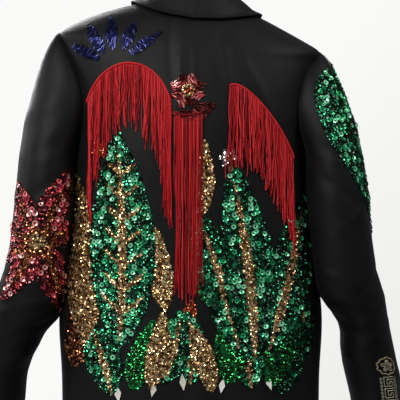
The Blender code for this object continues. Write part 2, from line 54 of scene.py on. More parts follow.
# Heights of the body, from the hem to the neck
HEM_Z = -0.715
ARMPIT_Z = -0.250
SHOULDER_TIP_Z = -0.061
NECK_Z = 0.0
HEM_LEVELS = 70
ARMHOLE_LEVELS = 32
SHOULDER_LEVELS = 20

# The neck seam dips below the shoulder points, at the middle back and far more at the middle front
NECK_DROP = {BACK: -0.016, FRONT: -0.080}
NECK_DROP_FADE_Z = -0.25

# Front closure: the left front lies over the right one by twice the overlap
OVERLAP = 0.014
UNDERLAP_STEP = CLOTH + 0.0012
UNDERLAP_START, UNDERLAP_END = -0.052, -0.026

# How far each armhole is cut in from the side of the body at its widest, and how much less it is cut in above
ARMHOLE_INSET = {BACK: 0.070, FRONT: 0.066}
ARMHOLE_LEAN = 0.18

BACK_COLUMNS = 116
FRONT_COLUMNS = 62
SLEEVE_COLUMNS = 2 * ARMHOLE_LEVELS
CAP_ROWS = 22
ARM_ROWS = 84

# Sleeves: how far the cap runs on from the armhole before it turns down, and how far out and down it leaves it
CAP_REACH = 0.57
CAP_OUT = 0.50
CAP_DOWN = 0.12
ARM_SLOPE_SPAN = 0.02
# The sleeve follows the body's side this far off and bends away softly. Its folds fade out beside the body
SIDE_CLEARANCE = 0.0007
SIDE_SOFTNESS = 0.003
FOLD_START_X, FOLD_FULL_X = 0.205, 0.225

# The row's buttons, which keep their packed form
BUTTON_COUNT = 5

# Collar
STAND_HEIGHT = {0: 0.040, 90: 0.0185, 175: 0.024}
STAND_FOOT_SCALE, STAND_TOP_SCALE = 0.993, 0.84
COLLAR_END = 174.0
COLLAR_COLUMNS = 121
COLLAR_CLEARANCE = 0.0030

# The oval of a fringe's root line is this much wider than the fall
ROOT_OVAL = 1.06

# Short steps along the cloth, and a length too small to divide by
SMALL = 1e-4
SHORT = 0.01
TINY = 1e-12
# An outward direction's upward share, and the angle from which an edge looks sharp
UPWARD = 0.05
SHARP_ANGLE = 50


def table(names, *rows):
    """A table with named columns, as a column for each name."""
    return dict(zip(names.split(), np.array(rows, float).T))


def arm_table(*rows):
    """A sleeve's table, given from the top down."""
    return table("z inner outer middle half_depth", *rows[::-1])


# Levels of the body: half its width, its depth behind and in front of the side seams, and how square it is
BODY = table(
    "z half_width back front square",
    (-0.715, 0.217, 0.126, 0.129, 2.5),
    (-0.630, 0.218, 0.122, 0.127, 2.5),
    (-0.525, 0.2225, 0.118, 0.125, 2.5),
    (-0.430, 0.212, 0.118, 0.123, 2.5),
    (-0.330, 0.199, 0.122, 0.122, 2.5),
    (-0.250, 0.195, 0.125, 0.119, 2.5),
    (-0.170, 0.199, 0.122, 0.114, 2.45),
    (-0.120, 0.207, 0.115, 0.108, 2.4),
    (-0.085, 0.215, 0.106, 0.102, 2.35),
    (-0.061, 0.218, 0.098, 0.097, 2.3),
    (-0.045, 0.190, 0.091, 0.092, 2.2),
    (-0.024, 0.143, 0.080, 0.084, 2.1),
    (-0.008, 0.100, 0.068, 0.074, 2.0),
    (0.000, 0.075, 0.058, 0.066, 2.0),
)

# How the wearer stands: the left shoulder is a little higher, and the neck is a little to the right
STANCE = table(
    "z lean sway",
    (-0.350, 0.000, 0.000),
    (-0.250, 0.010, 0.000),
    (-0.150, 0.037, 0.000),
    (-0.060, 0.080, 0.001),
    (-0.030, 0.096, -0.004),
    (-0.010, 0.102, -0.010),
    (0.005, 0.104, -0.011),
    (0.030, 0.104, -0.007),
    (0.060, 0.104, -0.003),
)

# Sleeves below the armpit: inner and outer edge seen from behind, middle and half depth from front to back
LEFT_ARM = arm_table(
    (-0.272, 0.1910, 0.2890, 0.034, 0.067),
    (-0.331, 0.1915, 0.2940, 0.036, 0.066),
    (-0.378, 0.1960, 0.2995, 0.034, 0.065),
    (-0.433, 0.2020, 0.3070, 0.031, 0.064),
    (-0.482, 0.2090, 0.3200, 0.026, 0.063),
    (-0.512, 0.2240, 0.3295, 0.017, 0.063),
    (-0.540, 0.2480, 0.3395, 0.001, 0.062),
    (-0.572, 0.2650, 0.3520, -0.012, 0.061),
    (-0.610, 0.2780, 0.3640, -0.026, 0.060),
    (-0.660, 0.2850, 0.3730, -0.043, 0.059),
    (-0.705, 0.2910, 0.3790, -0.056, 0.058),
)
RIGHT_ARM = arm_table(
    (-0.272, 0.1910, 0.2900, 0.034, 0.067),
    (-0.331, 0.1915, 0.2975, 0.036, 0.066),
    (-0.378, 0.1960, 0.3025, 0.034, 0.065),
    (-0.433, 0.2020, 0.3095, 0.031, 0.064),
    (-0.470, 0.2090, 0.3160, 0.027, 0.063),
    (-0.490, 0.2265, 0.3220, 0.021, 0.063),
    (-0.511, 0.2425, 0.3290, 0.011, 0.062),
    (-0.543, 0.2540, 0.3360, -0.004, 0.062),
    (-0.587, 0.2580, 0.3460, -0.019, 0.061),
    (-0.634, 0.2685, 0.3570, -0.035, 0.060),
    (-0.671, 0.2775, 0.3640, -0.047, 0.059),
    (-0.705, 0.2830, 0.3710, -0.057, 0.058),
)

# Soft folds on the body, then finer creases: middle, direction from upright, half length and width, height
BACK_FOLDS = table(
    "x z tilt length width height",
    (0.150, -0.330, 6.0, 0.150, 0.020, -0.0035),
    (0.165, -0.420, -4.0, 0.170, 0.020, 0.0040),
    (-0.150, -0.340, -8.0, 0.140, 0.020, -0.0035),
    (-0.163, -0.440, 5.0, 0.160, 0.020, 0.0040),
    (0.020, -0.130, 3.0, 0.085, 0.014, 0.0022),
    (0.070, -0.640, 2.0, 0.110, 0.026, 0.0030),
    (-0.050, -0.630, -3.0, 0.110, 0.024, -0.0030),
    (-0.120, -0.660, 2.0, 0.090, 0.024, 0.0030),
    (0.012, -0.110, 4.0, 0.060, 0.006, 0.0016),
    (0.030, -0.100, -3.0, 0.070, 0.007, -0.0014),
    (-0.008, -0.095, -2.0, 0.050, 0.006, 0.0012),
    (0.118, -0.150, 28.0, 0.060, 0.009, 0.0024),
    (-0.112, -0.140, -26.0, 0.060, 0.009, 0.0024),
    (-0.060, -0.100, -8.0, 0.055, 0.010, -0.0020),
    (0.182, -0.520, -3.0, 0.100, 0.009, 0.0022),
    (-0.186, -0.530, 4.0, 0.110, 0.010, 0.0024),
    (0.010, -0.670, 2.0, 0.060, 0.012, -0.0018),
    (0.120, -0.675, -3.0, 0.060, 0.012, 0.0018),
)
FRONT_FOLDS = table(
    "x z tilt length width height",
    (0.135, -0.300, -12.0, 0.150, 0.022, -0.0040),
    (-0.135, -0.310, 12.0, 0.150, 0.022, -0.0040),
    (0.165, -0.430, 5.0, 0.160, 0.022, 0.0040),
    (-0.165, -0.440, -5.0, 0.160, 0.022, 0.0040),
    (0.085, -0.620, 3.0, 0.120, 0.026, 0.0035),
    (-0.085, -0.610, -3.0, 0.120, 0.026, 0.0035),
    (0.120, -0.160, 24.0, 0.060, 0.010, 0.0026),
    (-0.118, -0.165, -22.0, 0.060, 0.010, 0.0026),
    (0.080, -0.150, 12.0, 0.050, 0.010, -0.0018),
    (-0.075, -0.155, -14.0, 0.055, 0.010, -0.0018),
    (0.178, -0.520, -3.0, 0.100, 0.010, 0.0024),
    (-0.180, -0.530, 4.0, 0.110, 0.011, 0.0026),
    (0.060, -0.420, 5.0, 0.110, 0.014, 0.0022),
    (-0.066, -0.440, -4.0, 0.110, 0.014, 0.0022),
    (0.115, -0.660, -3.0, 0.070, 0.013, -0.0022),
    (-0.120, -0.655, 3.0, 0.070, 0.013, -0.0022),
)

# Folds round the sleeves: height, place (0 outside, 90 back), reach round the sleeve, slant, width and height
SLEEVE_FOLDS = table(
    "z turn reach slant width height",
    (-0.180, 60.0, 60.0, 0.030, 0.016, 0.0035),
    (-0.230, 130.0, 60.0, 0.025, 0.014, -0.0030),
    (-0.420, 250.0, 75.0, 0.020, 0.014, -0.0034),
    (-0.455, 220.0, 75.0, -0.020, 0.013, 0.0034),
    (-0.490, 250.0, 70.0, 0.020, 0.014, -0.0034),
    (-0.525, 200.0, 80.0, -0.025, 0.014, 0.0034),
    (-0.600, 120.0, 70.0, 0.030, 0.016, 0.0035),
    (-0.650, 300.0, 80.0, 0.020, 0.016, 0.0035),
    (-0.140, 80.0, 50.0, 0.040, 0.008, 0.0022),
    (-0.300, 110.0, 70.0, 0.045, 0.010, -0.0022),
    (-0.345, 40.0, 60.0, -0.040, 0.009, 0.0020),
    (-0.455, 120.0, 60.0, 0.030, 0.007, 0.0026),
    (-0.475, 60.0, 55.0, -0.028, 0.006, -0.0024),
    (-0.500, 110.0, 70.0, 0.022, 0.006, 0.0030),
    (-0.522, 70.0, 60.0, -0.030, 0.006, 0.0024),
    (-0.545, 130.0, 60.0, 0.030, 0.007, -0.0028),
    (-0.570, 90.0, 65.0, -0.026, 0.007, 0.0024),
    (-0.625, 60.0, 60.0, 0.030, 0.010, -0.0020),
)

# The collar's outer edge on its left half, from the middle back (0) to the collar point (175)
COLLAR_EDGE = table(
    "turn x y z",
    (0, 0.000, 0.080, -0.031),
    (30, 0.052, 0.070, -0.026),
    (60, 0.092, 0.042, -0.017),
    (90, 0.109, 0.000, -0.012),
    (115, 0.105, -0.034, -0.022),
    (140, 0.090, -0.066, -0.055),
    (160, 0.069, -0.090, -0.098),
    (175, 0.050, -0.102, -0.142),
)

# How the collar rolls over the top of its stand: out from the stand, and up from its top
COLLAR_ROLL = ((-0.0006, 0.0012), (0.0034, 0.0019), (0.0072, -0.0020))
COLLAR_FALL_ROWS = 14

# Falls of fringe: the middle of the root line, half its width, the height of its ends, how far it rises over
# them and leans, and the length of the strands in its middle and at its ends
FRINGES = {
    name: dict(zip("x half_width end_z rise tilt middle ends".split(), values))
    for name, *values in (
        ("fringe_left", 0.101, 0.069, -0.205, 0.095, 0.0, 0.095, 0.205),
        ("fringe_right", -0.117, 0.053, -0.222, 0.045, 1.1, 0.115, 0.150),
        ("fringe_middle", 0.003, 0.023, -0.186, -0.010, 0.0, 0.300, 0.270),
    )
}


def eased(t, start, leaving, end, arriving, reach):
    """A smooth way from start to end that leaves and arrives at these slopes."""
    return (
        (2 * t**3 - 3 * t**2 + 1) * start
        + (t**3 - 2 * t**2 + t) * reach * leaving
        + (3 * t**2 - 2 * t**3) * end
        + (t**3 - t**2) * reach * arriving
    )


def read(tab, column, at):
    """A column of a table at a value of its first column, on a smooth curve through the rows."""
    keys, values = next(iter(tab.values())), tab[column]
    slopes = np.gradient(values, keys)
    at = np.clip(np.asarray(at, float), keys[0], keys[-1])
    i = np.clip(np.searchsorted(keys, at, side="right") - 1, 0, len(keys) - 2)
    step = keys[i + 1] - keys[i]
    return eased((at - keys[i]) / step, values[i], slopes[i], values[i + 1], slopes[i + 1], step)


def lengths(vectors):
    return np.linalg.norm(vectors, axis=-1)


def unit(vectors):
    """The same vectors at length 1."""
    return vectors / np.linalg.norm(vectors, axis=-1, keepdims=True)


def turns(count):
    """Angles evenly spaced all the way round."""
    return np.linspace(0, 2 * math.pi, count, endpoint=False)


def posed(points):
    """Points of the upright jacket moved to how the wearer stands."""
    moved = np.array(points, float)
    moved[..., 2] += read(STANCE, "lean", points[..., 2]) * points[..., 0]
    moved[..., 0] += read(STANCE, "sway", points[..., 2])
    return moved


def body_ring(z, side, steps=301):
    """The body's outer side at one level, from the left side seam by the back or front to the right one."""
    half_width = read(BODY, "half_width", z)
    depth = read(BODY, "back" if side == BACK else "front", z)
    power = 2 / read(BODY, "square", z)
    turn = np.linspace(0, math.pi, steps)
    cosine, sine = np.cos(turn), np.sin(turn)
    rise = np.clip(1 - z / NECK_DROP_FADE_Z, 0, 1)
    return np.column_stack([
        half_width * np.sign(cosine) * np.abs(cosine) ** power,
        side * depth * sine**power,
        z + NECK_DROP[side] * rise * sine**2,
    ])


def travelled(line):
    """How far along a line each of its points lies."""
    return np.concatenate([[0], np.cumsum(lengths(np.diff(line, axis=0)))])


def ring_points(ring, distances):
    """Points at these distances along a ring or line."""
    return np.column_stack([np.interp(distances, travelled(ring), axis) for axis in ring.T])


def ring_length(ring):
    return lengths(np.diff(ring, axis=0)).sum()


def fold_heights(folds, points):
    """How far soft folds lift the cloth at points of the body."""
    lift = np.zeros(points.shape[:-1])
    for x, z, tilt, length, width, height in zip(*folds.values()):
        turn = math.radians(tilt)
        across = (points[..., 0] - x) * math.cos(turn) + (points[..., 2] - z) * math.sin(turn)
        down = (points[..., 2] - z) * math.cos(turn) - (points[..., 0] - x) * math.sin(turn)
        lift += height * np.exp(-((across / width) ** 2) - (down / length) ** 4)
    return lift


def body_rows(side, levels, start, end, columns):
    """Outer points and outward directions of a panel. start and end are distances from the left side seam."""
    outer, outward = [], []
    for z, first, last in zip(levels, start, end):
        ring = body_ring(z, side)
        length = ring_length(ring)
        at = np.linspace(first, last, columns)
        points = ring_points(ring, at)
        ahead = ring_points(ring, np.clip(at + SMALL, 0, length))
        behind = ring_points(ring, np.clip(at - SMALL, 0, length))
        above = body_ring(min(z + SMALL, NECK_Z), side)
        below = body_ring(max(z - SMALL, HEM_Z), side)
        share = at / length
        up = ring_points(above, share * ring_length(above)) - ring_points(below, share * ring_length(below))
        outer.append(points)
        outward.append(unit(side * np.cross(ahead - behind, up)))
    return np.array(outer), np.array(outward)


def armhole_levels():
    """Heights of the rows beside an armhole, from the armpit up, close together where the armhole turns."""
    turn = np.linspace(0, math.pi, ARMHOLE_LEVELS + 1)
    return ARMPIT_Z + (SHOULDER_TIP_Z - ARMPIT_Z) * (1 - np.cos(turn)) / 2


# Heights of all rows of a body panel
LEVELS = np.concatenate([
    np.linspace(HEM_Z, ARMPIT_Z, HEM_LEVELS)[:-1],
    armhole_levels(),
    np.linspace(SHOULDER_TIP_Z, NECK_Z, SHOULDER_LEVELS + 1)[1:],
])


def armhole_inset(z, side):
    """How far in from the side of the body the armhole's edge lies at a height."""
    middle, half = (ARMPIT_Z + SHOULDER_TIP_Z) / 2, (SHOULDER_TIP_Z - ARMPIT_Z) / 2
    across = np.clip((z - middle) / half, -1, 1)
    return ARMHOLE_INSET[side] * np.sqrt(1 - across**2) * (1 - ARMHOLE_LEAN * across)


def thickened(outer, outward):
    """The outer and inner points of a cloth wall, in the wearer's stance."""
    return posed(outer), posed(outer - CLOTH * outward)


def quads(index, around=False):
    """The faces of a grid of point numbers, closed into a tube where it goes around."""
    after = np.roll(index, -1, axis=1) if around else index[:, 1:]
    before = index if around else index[:, :-1]
    return np.stack([before[:-1], after[:-1], after[1:], before[1:]], axis=-1).reshape(-1, 4)


def tree_of(grid, around=False):
    """A tree for finding points on a grid of points."""
    index = np.arange(grid[..., 0].size).reshape(grid.shape[:2])
    return BVHTree.FromPolygons(grid.reshape(-1, 3).tolist(), quads(index, around).tolist())


def seam_fade(outer, both, flip):
    """0 at a panel's side seams and 1 well inside it. A front has just one, at its first or last column."""
    steps = lengths(np.diff(outer, axis=1))
    run = np.concatenate([np.zeros((len(outer), 1)), np.cumsum(steps, axis=1)], axis=1)
    inward = run[:, -1:] - run
    nearest = np.minimum(run, inward) if both else inward if flip else run
    share = np.clip(nearest / SEAM_FADE, 0, 1)
    return share * share * (3 - 2 * share)


def distance_at(z, side, x):
    """How far along a level's ring the body has this x."""
    ring = body_ring(z, side)
    return np.interp(-x, -ring[:, 0], travelled(ring))


def armhole_ring():
    """Points and outward directions of the left armhole, from its top by the back, armpit and front."""
    levels = armhole_levels()
    rows = {}
    for side in (BACK, FRONT):
        edge = armhole_inset(levels, side)
        rows[side] = [grid[:, 0] for grid in body_rows(side, levels, edge, edge + SHORT, 2)]
    return [np.concatenate([back[:0:-1], front[:-1]]) for back, front in zip(rows[BACK], rows[FRONT])]


def beside_body(points):
    """Points of the left sleeve, moved out where they would come too near to the side of the body."""
    z = np.clip(points[:, 2], HEM_Z, NECK_Z)
    depth = np.where(points[:, 1] > 0, read(BODY, "back", z), read(BODY, "front", z))
    power = read(BODY, "square", z)
    share = np.clip(np.abs(points[:, 1]) / depth, 0, 1)
    side = read(BODY, "half_width", z) * (1 - share**power) ** (1 / power) + SIDE_CLEARANCE
    moved = points.copy()
    moved[:, 0] = (points[:, 0] + side + np.hypot(points[:, 0] - side, SIDE_SOFTNESS)) / 2
    return moved


def arm_ring(arm, z):
    """One ring of a sleeve, on the left side, starting at its outermost point and going round by the back."""
    turn = turns(SLEEVE_COLUMNS)
    inner, outer = read(arm, "inner", z), read(arm, "outer", z)
    reach, middle = (outer - inner) / 2, (outer + inner) / 2
    ends = read(arm, "outer", z - ARM_SLOPE_SPAN), read(arm, "outer", z + ARM_SLOPE_SPAN)
    slope = (ends[0] - ends[1]) / (2 * ARM_SLOPE_SPAN)
    slope = np.where(z < arm["z"].min() + ARM_SLOPE_SPAN, 0.0, slope)
    return beside_body(np.column_stack([
        middle + reach * np.cos(turn),
        read(arm, "middle", z) + read(arm, "half_depth", z) * np.sin(turn),
        z + slope * reach * np.cos(turn),
    ]))


def sleeve_folds(points):
    """How far the folds round a sleeve lift it."""
    rows, columns = points.shape[:2]
    turn = np.degrees(turns(columns))
    lift = np.zeros((rows, columns))
    for z, at, reach, slant, width, height in zip(*SLEEVE_FOLDS.values()):
        away = (turn - at + 180) % 360 - 180
        crest = z + slant * away / reach
        lift += height * np.exp(-(((points[..., 2] - crest) / width) ** 2) - (away / reach) ** 2)
    return lift


def sleeve_grids(side, arm):
    """The outer and inner points of a sleeve: a cap that turns down, then a tube to the wrist."""
    start, seam_outward = armhole_ring()
    top_z, wrist_z = arm["z"].max(), arm["z"].min()
    first = arm_ring(arm, top_z)
    turn = turns(SLEEVE_COLUMNS)
    along = np.roll(start, -1, axis=0) - np.roll(start, 1, axis=0)
    onward = unit(np.cross(seam_outward, along))
    leaving = unit(np.column_stack([
        np.maximum(onward[:, 0], 0) + CAP_OUT * np.clip(1.5 + 1.5 * np.cos(turn), 0, 1),
        onward[:, 1],
        np.minimum(onward[:, 2], 0) - CAP_DOWN * (1 + np.cos(turn)),
    ]))
    arriving = unit(arm_ring(arm, top_z - SHORT) - first)
    reach = CAP_REACH * lengths(first - start)[:, None]
    shares = np.linspace(0, 1, CAP_ROWS, endpoint=False)
    rows = [eased(t, start, leaving, first, arriving, reach) for t in shares]
    rows += [arm_ring(arm, z) for z in np.linspace(top_z, wrist_z, ARM_ROWS)]
    outer = np.array(rows)
    around = np.roll(outer, -1, axis=1) - np.roll(outer, 1, axis=1)
    outward = unit(np.cross(np.gradient(outer, axis=0), around))
    clear = np.clip((outer[..., 0] - FOLD_START_X) / (FOLD_FULL_X - FOLD_START_X), 0, 1)
    lift = sleeve_folds(outer) * clear
    lift[0] = 0
    outer = outer + lift[..., None] * outward
    inner = outer - CLOTH * outward
    flip = np.array([side, 1, 1])
    return posed(outer * flip), posed(inner * flip)


def stand_height(turn):
    """Height of the collar stand round the neck, from the middle back (0) to the front."""
    return np.interp(np.abs(turn), list(STAND_HEIGHT), list(STAND_HEIGHT.values()))


def neck_ring(turn, scale):
    """Points round the neck seam, from the middle back (0) to the front, left side positive."""
    angle = np.radians(turn)
    side = np.where(np.cos(angle) > 0, BACK, FRONT)
    half_width, back, front = (BODY[name][-1] for name in ("half_width", "back", "front"))
    depth = np.where(side == BACK, back, front)
    drop = np.where(side == BACK, NECK_DROP[BACK], NECK_DROP[FRONT]) * np.cos(angle) ** 2
    return np.column_stack([scale * half_width * np.sin(angle), scale * depth * np.cos(angle), drop])


COLLAR_TURNS = np.linspace(-COLLAR_END, COLLAR_END, COLLAR_COLUMNS)


def grid_outward(outer):
    """Outward directions of a collar's grid of points, whose rows go round the neck."""
    along = np.gradient(outer, axis=1)
    return unit(np.cross(along, np.gradient(outer, axis=0)))


def stand_rows():
    """The outer side of the collar stand, from the neck seam to the collar's fold."""
    foot = neck_ring(COLLAR_TURNS, STAND_FOOT_SCALE)
    top = neck_ring(COLLAR_TURNS, STAND_TOP_SCALE)
    top[:, 2] += stand_height(COLLAR_TURNS)
    return np.array([foot + share * (top - foot) for share in (0, 0.5, 1)])


def stand_grids():
    """The outer and inner points of the collar stand."""
    outer = stand_rows()
    return thickened(outer, -grid_outward(outer))


def nearest_on(trees, point):
    """The nearest place on several surfaces, and its direction away from the middle of the body."""
    place, normal, _, _ = min((tree.find_nearest(point) for tree in trees), key=lambda hit: hit[3])
    return place, normal if normal.dot(Vector((place.x, place.y, UPWARD))) > 0 else -normal


def fall_grids(trees):
    """The turned-down part of the collar. It rolls over the stand and lies just clear of the body."""
    top = stand_rows()[-1]
    away = unit(neck_ring(COLLAR_TURNS, 1.0) * [1, 1, 0])
    roll = [top + out * away + [0, 0, up] for out, up in COLLAR_ROLL]
    edge = np.column_stack([read(COLLAR_EDGE, axis, np.abs(COLLAR_TURNS)) for axis in "xyz"])
    edge[:, 0] *= np.sign(COLLAR_TURNS)
    shares = np.linspace(0, 1, COLLAR_FALL_ROWS + 1)[1:]
    outer = posed(np.array(roll + [roll[-1] + share * (edge - roll[-1]) for share in shares]))
    need = CLOTH + COLLAR_CLEARANCE
    for point in outer.reshape(-1, 3):
        place, normal = nearest_on(trees, Vector(point))
        away = Vector(point) - place
        if away.dot(normal) < need and away.length < 2 * need:
            point += np.array(normal) * (need - away.dot(normal))
    return outer, outer + CLOTH * grid_outward(outer)


def root_height(fall, x):
    """Height of a fringe's root line at x: a half oval that rises, or sags where the rise is negative."""
    aside = x - fall["x"]
    across = aside / (fall["half_width"] * ROOT_OVAL)
    return fall["end_z"] + fall["tilt"] * aside + fall["rise"] * math.sqrt(max(0.0, 1 - across**2))


# Shapes made of many small pieces

def mesh_of(name, points, faces, material, smooth=False):
    """An object of many faces that all have the same number of corners, riding on the jacket."""
    faces = np.asarray(faces, np.int32)
    made = bpy.data.meshes.new(name)
    made.vertices.add(len(points))
    made.vertices.foreach_set("co", np.asarray(points, np.float32).ravel())
    made.loops.add(faces.size)
    made.loops.foreach_set("vertex_index", faces.ravel())
    made.polygons.add(len(faces))
    made.polygons.foreach_set("loop_start", np.arange(0, faces.size, faces.shape[1], dtype=np.int32))
    made.polygons.foreach_set("use_smooth", np.full(len(faces), smooth))
    made.update(calc_edges=True)
    made.validate()
    made.materials.append(material)
    piece = bpy.data.objects.new(name, made)
    bpy.context.scene.collection.objects.link(piece)
    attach(piece, "root")
    return piece


def tinted(piece, values):
    """Gives each point of a piece a number from 0 to 1, which its material reads as tint."""
    tint = piece.data.attributes.new("tint", "FLOAT", "POINT")
    tint.data.foreach_set("value", np.asarray(values, np.float32))
    return piece


def fine_wall(name, grids, material, around=False):
    """A cloth wall between two fine grids of points, with its length and width in metres as its UVs."""
    outer, inner = grids
    points = np.concatenate([outer.reshape(-1, 3), inner.reshape(-1, 3)])
    under = len(points) // 2
    index = np.arange(under).reshape(outer.shape[:2])
    side = quads(index, around)
    faces = [side, under + side[:, ::-1]]
    for rim in [index[0], index[-1]] if around else [index[0], index[-1], index[:, 0], index[:, -1]]:
        ahead = np.roll(rim, -1) if around else rim[1:]
        rim = rim if around else rim[:-1]
        faces.append(np.stack([rim, ahead, under + ahead, under + rim], axis=-1))
    piece = mesh_of(name, points, np.concatenate(faces), material, smooth=True)
    shaped = bmesh.new()
    shaped.from_mesh(piece.data)
    bmesh.ops.recalc_face_normals(shaped, faces=shaped.faces)
    shaped.to_mesh(piece.data)
    shaped.free()
    piece.data.set_sharp_from_angle(angle=math.radians(SHARP_ANGLE))
    across = np.concatenate([[0], np.cumsum(lengths(np.diff(outer, axis=1)).mean(axis=0))])
    down = np.concatenate([[0], np.cumsum(lengths(np.diff(outer, axis=0)).mean(axis=1))])
    place = np.stack(np.broadcast_arrays(across[None, :], down[:, None]), axis=-1).reshape(-1, 2)
    place = np.concatenate([place, place])
    corners = np.zeros(len(piece.data.loops), np.int32)
    piece.data.loops.foreach_get("vertex_index", corners)
    piece.data.uv_layers.new(name="cloth").data.foreach_set("uv", place[corners].astype(np.float32).ravel())
    return piece


class Canvas:
    """A fine grid of cloth that small pieces are sewn to, found by shooting at it."""

    def __init__(self, grid, around=False):
        self.tree = tree_of(grid, around)

    def hit(self, u, v):
        """The place and outward direction of a point of the back, u across and v up."""
        return self.shoot(Vector((u, 1, v)), Vector((0, -1, 0)))

    def shoot(self, start, along):
        place, normal, _, _ = self.tree.ray_cast(start, along)
        if place is None:
            return None
        return np.array(place), np.array(normal if normal.dot(along) < 0 else -normal)


class SleeveCanvas(Canvas):
    """A sleeve as a canvas. u goes round it, as a length from its outermost line, and v is the height."""

    ROUND = 0.052
    OUTSIDE = 0.2

    def __init__(self, grid, arm, side):
        super().__init__(grid, around=True)
        self.arm, self.side = arm, side

    def hit(self, u, v):
        turn = u / self.ROUND
        centre = (read(self.arm, "inner", v) + read(self.arm, "outer", v)) / 2
        start = Vector((self.side * centre, read(self.arm, "middle", v), v))
        along = Vector((self.side * math.cos(turn), math.sin(turn), 0))
        return self.shoot(start + self.OUTSIDE * along, -along)


def laid(canvas, line, lift):
    """A line of canvas points as points a little above the cloth, with the outward direction at each."""
    found = [hit for hit in (canvas.hit(u, v) for u, v in line) if hit is not None]
    places, normals = np.array([hit[0] for hit in found]), np.array([hit[1] for hit in found])
    return places + normals * lift, normals


# Outlines of motifs, as points (u, v) on a canvas

def turned(points, degrees, place):
    """Points turned about the origin, and then moved to a place."""
    turn = math.radians(degrees)
    cosine, sine = math.cos(turn), math.sin(turn)
    return points @ np.array([[cosine, sine], [-sine, cosine]]) + np.array(place)


def leaf(place, length, width, degrees, bend=0.0, belly=0.85):
    """A pointed leaf that starts at a place and grows upward, turned by degrees."""
    share = np.linspace(0, 1, 40)
    half = width / 2 * np.sin(math.pi * share**belly) ** 0.8
    spine = bend * length * share**2
    right = np.column_stack([spine + half, length * share])
    left = np.column_stack([spine - half, length * share])[::-1]
    return turned(np.concatenate([right, left]), degrees, place)


def disc(place, radius, wave=0.0, petals=6):
    """A round patch, or a flower where its edge waves."""
    turn = turns(120)
    reach = radius * (1 + wave * np.cos(petals * turn))
    return np.column_stack([reach * np.cos(turn), reach * np.sin(turn)]) + np.array(place)


def inside(points, outline):
    """Which points lie inside an outline."""
    within = np.zeros(len(points), bool)
    for (u0, v0), (u1, v1) in zip(outline, np.roll(outline, -1, axis=0)):
        crosses = (v0 > points[:, 1]) != (v1 > points[:, 1])
        rise = v1 - v0 if v1 != v0 else TINY
        within ^= crosses & (points[:, 0] < (u1 - u0) * (points[:, 1] - v0) / rise + u0)
    return within


def without(points, outlines):
    """The points that lie outside all of these outlines."""
    for outline in outlines:
        points = points[~inside(points, outline)]
    return points


def edge_distance(points, outline):
    """How far points are from an outline."""
    nearest = np.full(len(points), np.inf)
    for start, step in zip(outline, np.roll(outline, -1, axis=0) - outline):
        along = np.clip((points - start) @ step / max(step @ step, TINY), 0, 1)
        nearest = np.minimum(nearest, lengths(points - start - along[:, None] * step))
    return nearest


# Outlines of the motifs already laid out on a canvas. Later ones stop at their edges
TAKEN = []
# The rows of a honeycomb lie this share of its pitch apart
HONEYCOMB = 0.866


def grid_in(outline, pitch, jitter=0.28):
    """Points of a slightly uneven honeycomb inside an outline, outside the motifs laid out before."""
    low, high = outline.min(axis=0), outline.max(axis=0)
    columns = np.arange(low[0], high[0] + pitch, pitch)
    rows = np.arange(low[1], high[1] + pitch, pitch * HONEYCOMB)
    points = np.array([(u + (i % 2) * pitch / 2, v) for i, v in enumerate(rows) for u in columns])
    points = points + chance.uniform(-jitter, jitter, points.shape) * pitch
    return without(points[inside(points, outline)], TAKEN)


def clear_of(points, others, reach):
    """The points that are farther than a reach from all the others."""
    keep = np.ones(len(points), bool)
    for other in others:
        keep &= lengths(points - other) > reach
    return points[keep]


# Sequins and beads, gathered by kind and then made as one piece for each kind

def ring_template(radii, heights, corners):
    """A round sequin with a hole in its middle, of radius 1, as rings of points."""
    turn = turns(corners)
    points = [
        (radius * math.cos(t), radius * math.sin(t), height)
        for radius, height in zip(radii, heights)
        for t in turn
    ]
    faces = []
    for ring in range(len(radii) - 1):
        for i in range(corners):
            j = (i + 1) % corners
            low, high = ring * corners, (ring + 1) * corners
            faces.append((low + i, high + i, high + j, low + j))
    return np.array(points), np.array(faces)


def rod_template(corners):
    """A bugle bead of radius 1 along X, open at both ends."""
    turn = turns(corners)
    points = [(x, math.cos(t), math.sin(t)) for x in (-1.0, 1.0) for t in turn]
    faces = [(i, (i + 1) % corners, corners + (i + 1) % corners, corners + i) for i in range(corners)]
    return np.array(points), np.array(faces)


CUP = ring_template((0.36, 0.66, 1.0), (-0.02, 0.05, 0.14), 12)
FLAT = ring_template((0.14, 0.45, 1.0), (-0.05, 0.01, 0.09), 8)
SPANGLE = ring_template((0.10, 1.0), (0.0, 0.06), 4)
BUGLE = rod_template(6)
# Sewn pieces differ in size by these shares, and lie up to this much higher than the lowest ones
UNEVEN_SIZE = (0.93, 1.07)
UNEVEN_LIFT = 0.0006


